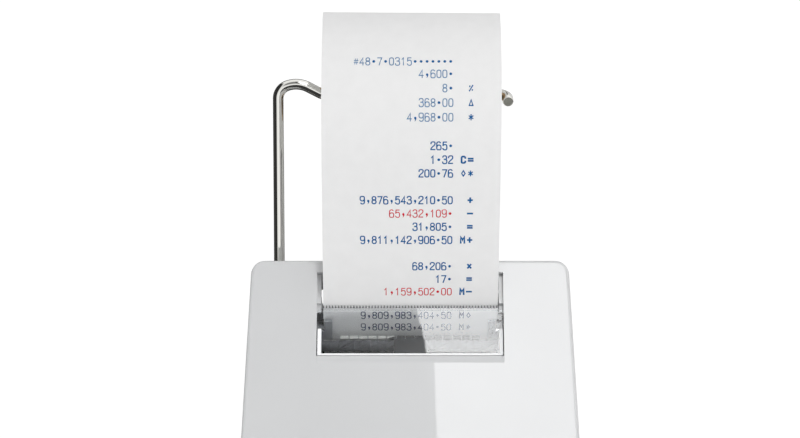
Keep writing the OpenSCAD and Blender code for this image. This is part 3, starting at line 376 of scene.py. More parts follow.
def piece(name, points, faces, material, body=None, sharp_from=None):
    """A mesh from points in millimetres, riding on a body; smooth up to an angle, where one is given."""
    mesh = bpy.data.meshes.new(name)
    mesh.from_pydata([Vector(p) * MM for p in points], [], faces)
    mesh.update()
    mesh.materials.append(material)
    if sharp_from:
        mesh.shade_smooth()
        mesh.set_sharp_from_angle(angle=math.radians(sharp_from))
    obj = bpy.data.objects.new(name, mesh)
    bpy.context.scene.collection.objects.link(obj)
    if body:
        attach(obj, body)
    return obj


def loft(rings):
    """Points and faces of a closed body through rings of equal length."""
    n = len(rings[0])
    points = [p for ring in rings for p in ring]
    faces = [
        (k * n + i, k * n + (i + 1) % n, (k + 1) * n + (i + 1) % n, (k + 1) * n + i)
        for k in range(len(rings) - 1) for i in range(n)
    ]
    top = (len(rings) - 1) * n
    faces.append(tuple(range(n - 1, -1, -1)))
    faces.append(tuple(range(top, top + n)))
    return points, faces


def add_to(points, faces, more_points, more_faces):
    """Add a patch to a mesh's lists of points and faces."""
    start = len(points)
    points += more_points
    faces += [tuple(i + start for i in face) for face in more_faces]


def mid(node):
    """The middle of a node's box, millimetres."""
    low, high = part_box(node)
    return (low + high) / 2 / MM


def half_height(node):
    """Half the height of a node's box, millimetres: the radius of a roller or a roll."""
    low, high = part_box(node)
    return (high.z - low.z) / 2 / MM


# ---------------------------------------------------------------- stroke lettering

CORNER_CUT = 0.25
CORNER_PASSES = 2
MITRE_LIMIT = 0.45
END_REACH = 0.35
DOT_SIDES = 14
THIN = 0.66
CELL_W = 4
CELL_H = 6


def rounded(points, closed):
    """Corner cutting: the polyline with its corners rounded, its ends kept."""
    far, near = CORNER_CUT, 1 - CORNER_CUT
    for _ in range(CORNER_PASSES):
        cut = [] if closed else [points[0]]
        count = len(points) if closed else len(points) - 1
        for k in range(count):
            (ax, ay), (bx, by) = points[k], points[(k + 1) % len(points)]
            if closed or k > 0:
                cut.append((ax * near + bx * far, ay * near + by * far))
            if closed or k < count - 1:
                cut.append((ax * far + bx * near, ay * far + by * near))
        points = cut if closed else cut + [points[-1]]
    return points


def dot(cx, cy, r, squash=1):
    """The outline of a round dot, or of one that is squashed in height."""
    turns = [2 * math.pi * k / DOT_SIDES for k in range(DOT_SIDES)]
    return [(cx + r * math.cos(turn), cy + r * squash * math.sin(turn)) for turn in turns]


OVAL = [(0.9, 6), (3.1, 6), (4, 5.1), (4, 0.9), (3.1, 0), (0.9, 0), (0, 0.9), (0, 5.1)]
NINE = [
    (0.5, 0.6), (1.4, -0.3), (4, 0.1), (4.1, 3.2), (4.0, 6.1), (2.0, 6.2), (-0.1, 6.1), (-0.1, 2.6),
    (3.2, 2.3), (3.95, 3.8)]
COMMA = [
    (1.6, 1.4), (1.0, 1.9), (0.9, 2.8), (1.6, 3.4), (2.6, 3.3), (3.2, 2.6), (3.1, 1.4), (2.1, 0.0),
    (1.3, -0.3), (1.9, 0.8)]
# Each glyph is a list of (kind, points) on a cell CELL_W wide and CELL_H high: "line" is sharp,
# "thin" a finer line, "soft" rounded, "loop" rounded and closed, "fill" a filled shape. Signs
# with no letter of their own: "^" an open triangle, "A" a filled one, "o" a diamond, ">" an
# arrow, "_" plus over minus, "/" division.
GLYPHS = {
    "0": [("loop", OVAL)],
    "1": [("line", [(0.7, 4.7), (2.1, 6), (2.1, 0)])],
    "2": [("soft", [(0.1, 4.6), (0.2, 6.1), (3.9, 6.3), (4.2, 3.9), (0.6, 1.6), (0, 0)]),
          ("line", [(0, 0), (4, 0)])],
    "3": [("soft", [(0.1, 5.1), (0.6, 6.2), (3.8, 6.2), (3.9, 3.5), (1.5, 3.3)]),
          ("soft", [(1.5, 3.3), (4.1, 3.2), (4.2, -0.1), (0.4, -0.3), (0, 1.2)])],
    "4": [("line", [(3, 0), (3, 6), (0, 1.7), (4, 1.7)])],
    "5": [("line", [(3.7, 6), (0.6, 6), (0.3, 3.2)]),
          ("soft", [(0.3, 3.2), (1.3, 4.0), (3.9, 4.0), (4.2, 0.0), (1.3, -0.4), (0, 0.9)])],
    "6": [("soft", [(CELL_W - x, CELL_H - y) for x, y in NINE])],
    "7": [("line", [(0, 6), (4, 6), (1.5, 0)])],
    "8": [("loop", [(1, 6), (3, 6), (3.8, 5.2), (3.7, 3.7), (2, 3.2), (0.3, 3.7), (0.2, 5.2)]),
          ("loop", [(2, 3.2), (3.7, 2.8), (4.1, 1.2), (3.1, 0), (0.9, 0), (-0.1, 1.2), (0.3, 2.8)])],
    "9": [("soft", NINE)],
    ".": [("fill", dot(2, 3, 1.4, 0.8))],
    ",": [("fill", COMMA)],
    "#": [("thin", [(0.9, 0.6), (1.4, 5.2)]), ("thin", [(2.7, 0.6), (3.2, 5.2)]),
          ("thin", [(0, 2.0), (4.0, 2.0)]), ("thin", [(0.2, 3.8), (4.2, 3.8)])],
    "+": [("line", [(0, 3), (4, 3)]), ("line", [(2, 1.1), (2, 4.9)])],
    "-": [("line", [(-0.4, 3), (4.4, 3)])],
    "=": [("line", [(-0.2, 3.9), (4.2, 3.9)]), ("line", [(-0.2, 2.1), (4.2, 2.1)])],
    "x": [("line", [(0.5, 1.5), (3.5, 4.5)]), ("line", [(0.5, 4.5), (3.5, 1.5)])],
    "*": [("thin", [(2, 0.9), (2, 5.1)]), ("thin", [(0.1, 1.9), (3.9, 4.1)]),
          ("thin", [(0.1, 4.1), (3.9, 1.9)])],
    "%": [("thin", [(0.3, 0.8), (3.7, 5.2)]), ("fill", dot(0.8, 4.4, 0.75)), ("fill", dot(3.2, 1.6, 0.75))],
    "/": [("line", [(0.2, 3), (3.8, 3)]), ("fill", dot(2, 4.7, 0.55)), ("fill", dot(2, 1.3, 0.55))],
    "_": [("line", [(0.4, 3.8), (3.6, 3.8)]), ("line", [(2, 2.2), (2, 5.4)]),
          ("line", [(0.4, 1.0), (3.6, 1.0)])],
    "^": [("thin", [(0.2, 0.8), (2, 5.2), (3.8, 0.8), (0.2, 0.8)])],
    "A": [("fill", [(0.2, 1.2), (3.8, 1.2), (2, 4.8)])],
    "o": [("thin", [(2, 0.7), (3.7, 3), (2, 5.3), (0.3, 3), (2, 0.7)])],
    ">": [("line", [(0, 3), (4, 3)]), ("line", [(2.5, 4.5), (4, 3), (2.5, 1.5)])],
    "C": [("soft", [(3.8, 4.3), (3.4, 5.6), (0.1, 5.7), (0.1, 3), (0.1, 0.3), (3.4, 0.4), (3.8, 1.7)])],
    "M": [("line", [(0.2, 0.5), (0.2, 5.5), (2, 3.0), (3.8, 5.5), (3.8, 0.5)])],
    "E": [("line", [(3.8, 6), (0, 6), (0, 0), (3.8, 0)]), ("line", [(0, 3.1), (3.2, 3.1)])],
    "F": [("line", [(3.8, 6), (0, 6), (0, 0)]), ("line", [(0, 3.1), (3.2, 3.1)])],
    "N": [("line", [(0, 0), (0, 6), (4, 0), (4, 6)])],
    "O": [("loop", OVAL)],
    "P": [("line", [(0, 0), (0, 6), (2.6, 6)]), ("soft", [(2.6, 6), (4.1, 5.9), (4.1, 3.1), (2.6, 3)]),
          ("line", [(2.6, 3), (0, 3)])],
}


def ribbon(points, width, closed):
    """A flat ribbon along a polyline, mitred at its corners: points and quads."""
    n = len(points)
    sides = []
    for k, (x, y) in enumerate(points):
        ahead = points[(k + 1) % n] if closed or k < n - 1 else None
        behind = points[k - 1] if closed or k > 0 else None
        dirs = []
        for a, b in ((behind, (x, y)), ((x, y), ahead)):
            if a is not None and b is not None:
                dirs.append(Vector((b[0] - a[0], b[1] - a[1])).normalized())
        mean = sum(dirs, Vector((0, 0))).normalized()
        reach = width / 2 / max(MITRE_LIMIT, mean.dot(dirs[0]))
        side = Vector((-mean.y, mean.x)) * reach
        end = Vector((0, 0))
        if not closed and k in (0, n - 1):
            end = mean * (width * END_REACH) * (1 if k else -1)
        sides.append((Vector((x, y)) + side + end, Vector((x, y)) - side + end))
    flat = [tuple(p) for pair in sides for p in pair]
    last = n if closed else n - 1
    quads = [(2 * k + 1, 2 * ((k + 1) % n) + 1, 2 * ((k + 1) % n), 2 * k) for k in range(last)]
    return flat, quads


def lettering(text, height, width, pitch, stroke):
    """Flat points and faces for a line of text: its cells start at x = 0, one each pitch."""
    points, faces = [], []
    for place, char in enumerate(text):
        for kind, outline in GLYPHS.get(char, []):
            scaled = [(place * pitch + x / CELL_W * width, y / CELL_H * height) for x, y in outline]
            if kind == "fill":
                add_to(points, faces, scaled, [tuple(range(len(scaled)))])
                continue
            curve = scaled if kind in ("line", "thin") else rounded(scaled, kind == "loop")
            breadth = stroke * (THIN if kind == "thin" else 1)
            add_to(points, faces, *ribbon(curve, breadth, kind == "loop"))
    return points, faces


# ---------------------------------------------------------------- paper

TRACK_STEP = 0.75
WRAP_STEPS = 48
WEB_STEPS = 60
SHEET_COLUMNS = 12
PAPER_SHARP = 50
# The tape drifts aside over its length; it is cut two steps short of its track's end, and aslant.
TAPE_DRIFT = 0.4
TAPE_CUT_STEPS = 2
TAPE_CUT_SLANT = 0.7

platen_mid = mid("platen_roller")
roll_mid = mid("paper_roll")
PLATEN = (platen_mid.y, platen_mid.z)
WRAP_R = half_height("platen_roller") + WRAP_GAP
WEB_R = half_height("paper_roll") + WEB_GAP
to_roll = (roll_mid.y - PLATEN[0], roll_mid.z - PLATEN[1])
web_dip = math.asin((WEB_R - WRAP_R) / math.hypot(*to_roll))
WEB_ANGLE = math.degrees(math.atan2(to_roll[1], to_roll[0]) - web_dip)
web_start = (PLATEN[0] + WRAP_R * sind(WEB_ANGLE), PLATEN[1] - WRAP_R * cosd(WEB_ANGLE))
web_end = (roll_mid.y + WEB_R * sind(WEB_ANGLE), roll_mid.z - WEB_R * cosd(WEB_ANGLE))
SPLIT_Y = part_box("paper_web")[0].y / MM


def walk(at, bends):
    """Points (y, z, elevation, length so far) along bends of steady curvature."""
    y, z, lift, run = *at, 0.0
    track = [(y, z, lift, run)]
    for length, target in bends:
        count = math.ceil(length / TRACK_STEP)
        part, turn = length / count, (target - lift) / count
        for _ in range(count):
            middle = lift + turn / 2
            y, z, lift, run = y + part * cosd(middle), z + part * sind(middle), lift + turn, run + part
            track.append((y, z, lift, run))
    return track


def around(angle):
    """The place of the paper on the platen, at an angle round its axis."""
    return (PLATEN[0] + WRAP_R * cosd(angle), PLATEN[1] + WRAP_R * sind(angle))


def along_web(y):
    """The height of the straight paper between platen and roll."""
    return web_start[1] + (y - web_start[0]) * math.tan(math.radians(WEB_ANGLE))


def sheet(track, drift=0.0, slant=0.0):
    """Paper that follows a track; it drifts sideways along it, and its end can be cut aslant."""
    columns = range(SHEET_COLUMNS + 1)
    upper = [(k, PAPER_T / 2) for k in columns]
    lower = [(k, -PAPER_T / 2) for k in reversed(columns)]
    rings = []
    for at, (y, z, lift) in enumerate(track):
        left = drift * at / (len(track) - 1) - PAPER_W / 2
        short = slant / SHEET_COLUMNS if at == len(track) - 1 else 0
        rings.append([(
            left + PAPER_W * k / SHEET_COLUMNS,
            y - sind(lift) * side - cosd(lift) * short * k,
            z + cosd(lift) * side - sind(lift) * short * k) for k, side in upper + lower])
    return loft(rings)


rising = walk((*around(DEPART_ANGLE), DEPART_ANGLE - 90), TAPE_BENDS)
wrap_from = WEB_ANGLE - 90
wrap_turn = wrap_from + 360 - DEPART_ANGLE
tape_track = [(SPLIT_Y, along_web(SPLIT_Y), WEB_ANGLE - 180)]
for k in range(WRAP_STEPS):
    angle = wrap_from - wrap_turn * k / WRAP_STEPS
    tape_track.append((*around(angle), angle - 90))
tape_track += [place[:3] for place in rising]
tape_shape = sheet(tape_track[:-TAPE_CUT_STEPS], TAPE_DRIFT, TAPE_CUT_SLANT)
tape = piece("paper_tape_sheet", *tape_shape, paper, "case", sharp_from=PAPER_SHARP)
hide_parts("paper_tape")

web_track = []
for k in range(WEB_STEPS + 1):
    y = SPLIT_Y + (web_end[0] - SPLIT_Y) * k / WEB_STEPS
    web_track.append((y, along_web(y), WEB_ANGLE))
web = piece("paper_web_sheet", *sheet(web_track), paper, sharp_from=PAPER_SHARP)
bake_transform(web)
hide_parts("paper_web")

# ---------------------------------------------------------------- print on the tape

# Rows of the tape, counted down from the top one: row, figures, signs, ink of the figures.
# Row 17 lies ROW_17_S along the tape from where it leaves the platen.
ROWS = [
    (0.1, "#48.7.0315.......", "", "faint"), (1, "4,600.", "", "faint"), (2, "8.", " %", "faint"),
    (3, "368.00", " ^", "faint"), (4, "4,968.00", " *", "faint"),
    (6, "265.", "", "blue"), (7, "1.32", "C=", "blue"), (8, "200.76", "o*", "blue"),
    (10, "9,876,543,210.50", " +", "blue"), (11, "65,432,109.", " -", "red"), (12, "31,805.", " =", "blue"),
    (13, "9,811,142,906.50", "M+", "blue"),
    (15, "68,206.", " x", "blue"), (16, "17.", " =", "blue"), (17, "1,159,502.00", "M-", "red"),
    (19, "9,809,983,404.50", "Mo", "slate"), (20, "9,809,983,404.50", "M*", "slate"),
]
ROW_PITCH = 4.632
ROW_17_S = 24.41
FIRST_ROW_S = ROW_17_S + 17 * ROW_PITCH
CHAR_PITCH = 1.89
CHAR_H = 2.45
CHAR_W = 1.3
FIGURES_END = 14.1
SIGNS_START = 16.35
SIGN_PITCH = 2.3
INK_LIFT = 0.02
INKS = {"blue": ink_blue, "faint": ink_faint, "red": ink_red, "slate": ink_slate}
STROKES = {"blue": 0.4, "faint": 0.31, "red": 0.31, "slate": 0.34}
SIGN_STROKE = 0.58
POINTS = ".,"
printed = {ink: ([], []) for ink in INKS}


def on_tape(x, run):
    """The place of ink on the printed side of the tape, run along it past the platen."""
    index = 0
    while index < len(rising) - 2 and rising[index + 1][3] < run:
        index += 1
    a, b = rising[index], rising[index + 1]
    t = (run - a[3]) / (b[3] - a[3])
    y, z, lift = (a[k] + (b[k] - a[k]) * t for k in range(3))
    off = PAPER_T / 2 + INK_LIFT
    return (x, y - sind(lift) * off, z + cosd(lift) * off)


def print_on_tape(ink, text, x0, base, stroke, pitch):
    """Add a line of text to what is printed in one ink."""
    flat, quads = lettering(text, CHAR_H, CHAR_W, pitch, stroke)
    add_to(*printed[ink], [on_tape(x0 + x, base + y) for x, y in flat], quads)


# Faint figures have blue points, and the signs beside all but the slate rows are blue.
for row, figures, signs, ink in ROWS:
    base = FIRST_ROW_S - row * ROW_PITCH - CHAR_H / 2
    x0 = FIGURES_END - len(figures) * CHAR_PITCH
    digits = "".join(" " if char in POINTS else char for char in figures)
    points_only = "".join(char if char in POINTS else " " for char in figures)
    print_on_tape(ink, digits, x0, base, STROKES[ink], CHAR_PITCH)
    print_on_tape("blue" if ink == "faint" else ink, points_only, x0, base, STROKES[ink], CHAR_PITCH)
    print_on_tape("slate" if ink == "slate" else "blue", signs, SIGNS_START, base, SIGN_STROKE, SIGN_PITCH)
for ink, (points, faces) in printed.items():
    piece("tape_print_" + ink, points, faces, INKS[ink], "case")

# ---------------------------------------------------------------- the roll

TURN_PITCH = 0.5
TURN_RELIEF = 0.35


def roll_paper():
    """Paper seen on edge: fine turns round the core."""
    material = finish(
        "roll_paper", rgb(232, 232, 231), 0.8, mottle=0.015, mottle_mm=3, Specular_IOR_Level=0.2)
    tree = material.node_tree
    place = made(tree, "TexCoord").outputs["Object"]
    from_core = vector_maths(tree, "SUBTRACT", place, (0, roll_mid.y * MM, roll_mid.z * MM))
    radius = vector_measure(tree, "LENGTH", vector_maths(tree, "MULTIPLY", from_core, (0, 1, 1)))
    turns = maths(tree, "MULTIPLY", radius, 2 * math.pi / (TURN_PITCH * MM))
    bumped(tree, maths(tree, "SINE", turns), TURN_RELIEF)
    return material


paint("paper_roll", roll_paper())

# ---------------------------------------------------------------- wire arm

WIRE_D = 3.6
ARM_ANGLE = 38
ARM_X = 44.3
ARM_L = 61.5
LEG_BEND_R = 3
# The pin in the bracket's barrel, up to the leg's bend.
BARREL_L = 5
BARREL_FROM_LEG = 3.2
PIN_SPARE = 0.3
PIN_L = BARREL_FROM_LEG + BARREL_L + PIN_SPARE - LEG_BEND_R
# The first bend after the leg, the arch over the roll, its way down, and the axle's turned tip.
FIRST_BEND = 70
FIRST_R = 4.5
FALL = 27
ARCH_BEND = 90 + FALL - FIRST_BEND
ARCH_R = 9
ARCH_RUN = 4.4
SETTLE_R = 3
AXLE_SPARE = 0.15
AXLE_L = PAPER_W + AXLE_SPARE
TIP_R = 4
TIP_L = 2.5
TIP_TURN = 110
ARC_STEP = 4
WIRE_SIDES = 32
WIRE_SHARP = 40
# A bar's rounded end: how far each ring is in from the bar's side, and along from its end.
END_EDGE = 0.3
END_ROUND = 0.3 * END_EDGE
END_RINGS = ((END_EDGE, 0.0), (END_ROUND, END_ROUND), (0.0, END_EDGE))
COLLAR_W = 0.7
# The collar's places along the pin; it starts a hair outside the pin's end.
COLLAR_ALONG = (-0.01, 0.5, 1.0)
hinge = next(joint for joint in frame["joints"] if joint["name"] == "paper_arm_fold")
PIVOT = Vector(hinge["pos_m"]) / MM


def moved(x, y, z):
    """A shift as a matrix, millimetres."""
    return Matrix.Translation((x, y, z))


def turned(angle, axis):
    """A turn in degrees as a matrix."""
    return Matrix.Rotation(math.radians(angle), 4, axis)


def wire_track():
    """Frames along the wire: each as (place, twist), the twist undone where a ring is drawn."""
    arch_height = (
        FIRST_R * sind(FIRST_BEND) + ARCH_R * (sind(FIRST_BEND + ARCH_BEND) - sind(FIRST_BEND))
        + ARCH_RUN * cosd(FIRST_BEND + ARCH_BEND) - SETTLE_R * (1 - cosd(FALL))
    )
    leg_l = ARM_L - LEG_BEND_R - arch_height
    place = moved(-ARM_X + LEG_BEND_R + PIN_L, PIVOT.y, PIVOT.z) @ turned(ARM_ANGLE, "X") @ turned(-90, "Y")
    twist, track = 0, [(place, 0)]
    # Each stretch is a straight run, a turn about the wire and a bend: run, radius, bend, turn.
    for run, radius, bend, turn in (
        (PIN_L, LEG_BEND_R, 90, 90), (leg_l, FIRST_R, FIRST_BEND, 0), (0, ARCH_R, ARCH_BEND, 0),
        (ARCH_RUN, SETTLE_R, FALL, 180), (AXLE_L, TIP_R, 90, TIP_TURN), (TIP_L, 0, 0, 0),
    ):
        place = place @ moved(0, 0, run) @ turned(turn, "Z")
        twist += turn
        if run:
            track.append((place, twist))
        steps = math.ceil(bend / ARC_STEP)
        for k in range(1, steps + 1):
            angle = bend * k / steps
            arc = moved(radius * (1 - cosd(angle)), 0, radius * sind(angle)) @ turned(angle, "Y")
            track.append((place @ arc, twist))
        place = track[-1][0] if steps else place
    return track


def circle(at, r, along):
    """A ring of points round the wire at a (place, twist), shifted along it."""
    place, twist = at
    ring = []
    for k in range(WIRE_SIDES):
        turn = -math.radians(twist) + 2 * math.pi * k / WIRE_SIDES
        ring.append(tuple(place @ Vector((r * math.cos(turn), r * math.sin(turn), along))))
    return ring


def tube(track, radius):
    """A round bar along (place, twist) pairs, its ends slightly rounded."""
    rings = [circle(track[0], radius - inset, along) for inset, along in END_RINGS]
    rings += [circle(at, radius, 0) for at in track[1:-1]]
    rings += [circle(track[-1], radius - inset, -along) for inset, along in reversed(END_RINGS)]
    return loft(rings)


arm_track = wire_track()
arm = piece("wire_arm", *tube(arm_track, WIRE_D / 2), chrome, "paper_arm", sharp_from=WIRE_SHARP)
arm.data.materials.append(cut_end)
# The wire's cut ends are its only faces with more than four corners.
for face in arm.data.polygons:
    if len(face.vertices) > 4:
        face.material_index = 1
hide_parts("paper_arm")
collar_track = [(arm_track[0][0] @ moved(0, 0, along), 0) for along in COLLAR_ALONG]
collar = tube(collar_track, WIRE_D / 2 + COLLAR_W)
piece("wire_arm_collar", *collar, chrome, "paper_arm", sharp_from=WIRE_SHARP)

# ---------------------------------------------------------------- keys

LEGENDS = {
    "key_clear": "C", "key_0": "0", "key_00": "00", "key_point": ".", "key_plus": "+",
    "key_clear_entry": "CE", "key_1": "1", "key_2": "2", "key_3": "3", "key_memory_plus": "M+",
    "key_4": "4", "key_5": "5", "key_6": "6", "key_minus": "-", "key_memory_total": "M*",
    "key_7": "7", "key_8": "8", "key_9": "9", "key_multiply": "x", "key_feed": "A",
    "key_backspace": ">", "key_sign": "_", "key_percent": "%", "key_divide": "/",
}
FIGURE_KEYS = (
    "key_0", "key_00", "key_point", "key_1", "key_2", "key_3", "key_4", "key_5", "key_6", "key_7", "key_8",
    "key_9")
# The dish in a key's top, and how far a legend floats above what it lies on.
DISH_R = 48
DISH_DEPTH = 0.4
LEGEND_LIFT = 0.03
# A letter's width, and its pitch on keys and on the case, as shares of its height.
LETTER_W = 0.56
KEY_LETTER_PITCH = 0.78
CASE_LETTER_PITCH = 0.8
# What a key is moulded in, and its legend's height, stroke and paint.
FIGURE_LOOK = (key_white, 4.2, 0.7, legend_dark)
SIGN_LOOK = (key_blue, 3.6, 0.62, legend_white)


def deck_box(node, tilt):
    """Lowest and highest corner of a node along a deck's own axes, millimetres."""
    turn = Matrix.Rotation(math.radians(-tilt), 3, "X")
    places = [turn @ v.co for v in nodes[node].data.vertices]
    return [Vector(tuple(pick(p[k] for p in places) for k in range(3))) / MM for pick in (min, max)]


def on_deck(point, tilt):
    """A point along a deck's own axes, back in the frame."""
    return tuple(Matrix.Rotation(math.radians(tilt), 3, "X") @ Vector(point))


def centred(text, height, pitch, stroke):
    """Lettering with its middle at x = 0 and its foot at y = 0; the pitch is a share of its height."""
    width = height * LETTER_W
    span = (len(text) - 1) * pitch * height + width
    flat, quads = lettering(text, height, width, pitch * height, stroke)
    return [(x - span / 2, y) for x, y in flat], quads


def key_legend(node, text, height, stroke, ink):
    """Lettering that lies in the dish of a key's top."""
    low, high = deck_box(node, KEY_TILT)
    middle = (low + high) / 2
    flat, quads = centred(text, height, KEY_LETTER_PITCH, stroke)
    points = []
    for x, y in flat:
        top = high.z - DISH_DEPTH + DISH_R - math.sqrt(DISH_R ** 2 - x ** 2)
        points.append(on_deck((middle.x + x, middle.y - height / 2 + y, top + LEGEND_LIFT), KEY_TILT))
    piece("legend_" + node, points, quads, ink, node)


for node, text in LEGENDS.items():
    cap, height, stroke, ink = FIGURE_LOOK if node in FIGURE_KEYS else SIGN_LOOK
    paint(node, cap)
    key_legend(node, text, height, stroke, ink)

# ---------------------------------------------------------------- switch lettering

SWITCH_LABELS = {"slide_knob_left": ("OFF", "ON", "P"), "slide_knob_right": ("F", "2", "0")}
LABEL_STEP = 5.2
LABEL_RISE = 2.2
LABEL_H = 2.1
LABEL_STROKE = 0.3
# Rays are cast down from well above the case, metres.
RAY_FROM = 0.5
top_case = nodes["top_case"].data
case_surface = BVHTree.FromPolygons(
    [v.co for v in top_case.vertices], [tuple(face.vertices) for face in top_case.polygons])


def on_case(x, y):
    """The place on the upper case straight below a point, millimetres."""
    hit = case_surface.ray_cast(Vector((x * MM, y * MM, RAY_FROM)), Vector((0, 0, -1)))[0]
    return (x, y, hit.z / MM + LEGEND_LIFT)


switch_points, switch_quads = [], []
for knob, labels in SWITCH_LABELS.items():
    low, high = (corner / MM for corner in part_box(knob))
    for place, label in enumerate(labels):
        x = (low.x + high.x) / 2 + (place - 1) * LABEL_STEP
        flat, quads = centred(label, LABEL_H, CASE_LETTER_PITCH, LABEL_STROKE)
        laid = [on_case(x + dx, high.y + LABEL_RISE + dy) for dx, dy in flat]
        add_to(switch_points, switch_quads, laid, quads)
piece("legend_switches", switch_points, switch_quads, legend_dark, "case")

# ---------------------------------------------------------------- display

# The display shows a single nought and its point, slanted a little, inside a dark printed border.
SEGMENTS = (
    ((0.5, 6), (3.5, 6)), ((0, 5.5), (0, 3.4)), ((0, 2.6), (0, 0.5)), ((4, 5.5), (4, 3.4)),
    ((4, 2.6), (4, 0.5)), ((0.5, 0), (3.5, 0)), ((5.3, 0.1), (5.9, 0.1)))
SEGMENT_W = 0.85
DIGIT_SHARE = 0.42
DIGIT_FROM_RIGHT = 12
DIGIT_SLANT = 0.12
BORDER_W = 1.4
BORDER_INSET = 0.05
BORDER_LIFT = 0.05

lcd_low, lcd_high = deck_box("lcd_panel", DISPLAY_TILT)
digit_h = (lcd_high.y - lcd_low.y) * DIGIT_SHARE
digit_x = lcd_high.x - DIGIT_FROM_RIGHT
digit_y = (lcd_low.y + lcd_high.y - digit_h) / 2
unit = digit_h / CELL_H
shown, shown_quads = [], []
for segment in SEGMENTS:
    flat, quads = ribbon(segment, SEGMENT_W, False)
    slanted = [(digit_x + (x + DIGIT_SLANT * y) * unit, digit_y + y * unit) for x, y in flat]
    laid = [on_deck((*at, lcd_high.z + LEGEND_LIFT), DISPLAY_TILT) for at in slanted]
    add_to(shown, shown_quads, laid, quads)
piece("lcd_nought", shown, shown_quads, lcd_mark, "case")

corners = []
for inset in (BORDER_INSET, BORDER_W):
    left, right = lcd_low.x + inset, lcd_high.x - inset
    near, far = lcd_low.y + inset, lcd_high.y - inset
    for at in ((left, near), (right, near), (right, far), (left, far)):
        corners.append(on_deck((*at, lcd_high.z + BORDER_LIFT), DISPLAY_TILT))
sides = [(k, (k + 1) % 4, 4 + (k + 1) % 4, 4 + k) for k in range(4)]
piece("lcd_border", corners, sides, lcd_mask, "case")

# ---------------------------------------------------------------- floor and surroundings

# The camera sees FLOOR_SEEN of the floor as a white glow and the rest as it is lit; mirrors see
# it dark on the left and bright from FLOOR_BRIGHT_X on. Lengths in metres.
FLOOR_HALF = 3
FLOOR_GREY = (0.9, 0.9, 0.9, 1)
FLOOR_GLOW = 1.1
FLOOR_SEEN = 0.88
FLOOR_BRIGHT_X = 0.1
FLOOR_MIRRORED = [(0, 0.05), (1, 0.75)]
# Level of the surroundings for matt surfaces, and for mirrors along each axis, graded from 0 to 1.
WORLD_LEVEL = 0.55
MIRRORED = {
    "X": [(0, 0.03), (0.2, 0.03), (0.26, 0.9), (0.6, 1), (0.9, 1), (0.94, 0.04), (1, 0.04)],
    "Y": [(0, 0.04), (0.12, 0.04), (0.135, 1), (1, 1)],
    "Z": [(0, 1), (0.94, 1), (0.975, 0.25), (1, 0.25)],
}


def level_sheet(name, corners, material):
    """A level rectangle through the origin, its corners in metres, that isn't part of the object."""
    mesh = bpy.data.meshes.new(name)
    mesh.from_pydata([(x, y, 0) for x, y in corners], [], [(0, 1, 2, 3)])
    mesh.materials.append(material)
    obj = bpy.data.objects.new(name, mesh)
    bpy.context.scene.collection.objects.link(obj)
    return obj


def background_floor():
    """Pale floor that the camera sees as white, with a trace of the object's shadow."""
    material = bpy.data.materials.new("floor_white")
    tree = emptied(material)
    path = made(tree, "LightPath")
    seen = maths(tree, "MAXIMUM", path.outputs["Is Camera Ray"], path.outputs["Is Transmission Ray"])
    pale = made(tree, "BsdfDiffuse", Color=FLOOR_GREY).outputs["BSDF"]
    white = made(tree, "Emission", Color=WHITE, Strength=FLOOR_GLOW).outputs["Emission"]
    x = made(tree, "SeparateXYZ", Vector=made(tree, "TexCoord").outputs["Object"]).outputs["X"]
    level = graded(tree, maths(tree, "DIVIDE", x, FLOOR_BRIGHT_X), FLOOR_MIRRORED)
    mirrored = made(tree, "Emission", Color=WHITE, Strength=level).outputs["Emission"]
    look = mixed(tree, maths(tree, "MULTIPLY", seen, FLOOR_SEEN), pale, white)
    look = mixed(tree, path.outputs["Is Glossy Ray"], look, mirrored)
    made(tree, "OutputMaterial", Surface=look)
    return material


def studio_world():
    """Soft even surroundings for matt surfaces, bands for mirrors, and plain white for the camera."""
    world = bpy.data.worlds.new("studio")
    tree = emptied(world)
    path = made(tree, "LightPath")
    way = made(tree, "SeparateXYZ", Vector=made(tree, "TexCoord").outputs["Generated"])
    # A direction's -1 to 1 is graded as 0 to 1.
    across, along, upward = (
        graded(tree, maths(tree, "MULTIPLY_ADD", way.outputs[axis], 0.5, 0.5), stops)
        for axis, stops in MIRRORED.items())
    level = maths(tree, "MULTIPLY", maths(tree, "MULTIPLY", across, along), upward)
    through = maths(tree, "SUBTRACT", 1, path.outputs["Is Transmission Ray"])
    look = made(tree, "Background", Color=WHITE, Strength=WORLD_LEVEL).outputs["Background"]
    for strength, ray in ((level, "Is Glossy Ray"), (1, "Is Camera Ray")):
        other = made(tree, "Background", Color=WHITE, Strength=strength).outputs["Background"]
        look = mixed(tree, maths(tree, "MULTIPLY", path.outputs[ray], through), look, other)
    made(tree, "OutputWorld", Surface=look)
    return world


square = ((-1, -1), (1, -1), (1, 1), (-1, 1))
level_sheet("floor", [(x * FLOOR_HALF, y * FLOOR_HALF) for x, y in square], background_floor())
bpy.context.scene.world = studio_world()

# ---------------------------------------------------------------- lights and camera

# The soft box hangs right of the middle, so its sharp left edge, through BOX_EDGE_AT, mirrors
# down the case; left of that edge is its spill, which fades away, and towards the rear it grows
# dimmer. Lengths in metres.
BOX_H = 1.5
BOX_W = 0.46
BOX_EDGE_AT = (0.0332, 0.08)
BOX_FRONT = -0.19
BOX_REAR = 0.75
BOX_L = BOX_REAR - BOX_FRONT
BOX_TURN = 2.2
BOX_GLOW = 7.0
SPILL_W = 0.14
SPILL_LEVEL = 0.13
EDGE_BLUR = 0.001
# Its level from its front at 0 to its rear at 1; it dims at two places given by their y.
DIM_AT = 0.45
DIMMER_AT = 0.6
BOX_ALONG = [
    (0, 0.72), (0.42, 0.76), (0.53, 0.9), ((DIM_AT - BOX_FRONT) / BOX_L, 0.62),
    ((DIMMER_AT - BOX_FRONT) / BOX_L, 0.4), (1, 0.2)]
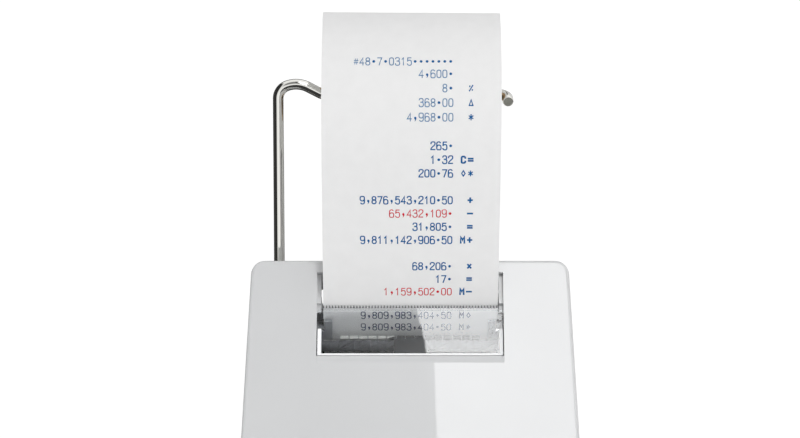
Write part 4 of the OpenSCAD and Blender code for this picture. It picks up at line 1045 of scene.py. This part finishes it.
# The front light: an area light that mirrors don't see.
FRONT_AT = Vector((0.5, -1.7, 1.25))
FRONT_AIM = Vector((0, 0, 0.05))
FRONT_SIZE = (1.3, 1.0)
FRONT_RADIANCE = 2.6
# The camera's place, its turn up from straight down in degrees, and its sensor and lens in millimetres.
CAMERA_AT = (-0.00333, -0.2732, 0.65482)
CAMERA_TURN = 31
CAMERA_SENSOR = 36
CAMERA_LENS = 94.86


def soft_box_glow():
    """The soft box's own light, graded across and along it."""
    material = bpy.data.materials.new("soft_box")
    tree = emptied(material)
    place = made(tree, "SeparateXYZ", Vector=made(tree, "TexCoord").outputs["Generated"])
    edge = SPILL_W / (SPILL_W + BOX_W)
    across = graded(tree, place.outputs["X"], [(0, 0), (edge, SPILL_LEVEL), (edge + EDGE_BLUR, 1), (1, 1)])
    along = graded(tree, place.outputs["Y"], BOX_ALONG)
    level = maths(tree, "MULTIPLY", maths(tree, "MULTIPLY", across, along), BOX_GLOW)
    made(tree, "OutputMaterial", Surface=made(tree, "Emission", Strength=level).outputs["Emission"])
    return material


outline = [(-SPILL_W, BOX_FRONT), (-SPILL_W, BOX_REAR), (BOX_W, BOX_REAR), (BOX_W, BOX_FRONT)]
panel = level_sheet("soft_box", outline, soft_box_glow())
panel.location = (BOX_EDGE_AT[0] + BOX_EDGE_AT[1] * math.tan(math.radians(BOX_TURN)), 0, BOX_H)
panel.rotation_euler = (0, 0, math.radians(BOX_TURN))
panel.visible_camera = False

front_data = bpy.data.lights.new("front_light", "AREA")
front_data.shape = "RECTANGLE"
front_data.size, front_data.size_y = FRONT_SIZE
front_data.energy = FRONT_RADIANCE * math.pi * FRONT_SIZE[0] * FRONT_SIZE[1]
front = bpy.data.objects.new("front_light", front_data)
front.location = FRONT_AT
front.rotation_euler = (FRONT_AIM - FRONT_AT).to_track_quat("-Z", "Y").to_euler()
front.visible_camera = False
front.visible_glossy = False
bpy.context.scene.collection.objects.link(front)

camera_data = bpy.data.cameras.new("camera")
camera_data.sensor_width = CAMERA_SENSOR
camera_data.lens = CAMERA_LENS
camera = bpy.data.objects.new("camera", camera_data)
camera.location = CAMERA_AT
camera.rotation_euler = (math.radians(CAMERA_TURN), 0, 0)
bpy.context.scene.collection.objects.link(camera)
bpy.context.scene.camera = camera
bpy.context.scene.view_settings.view_transform = "Standard"
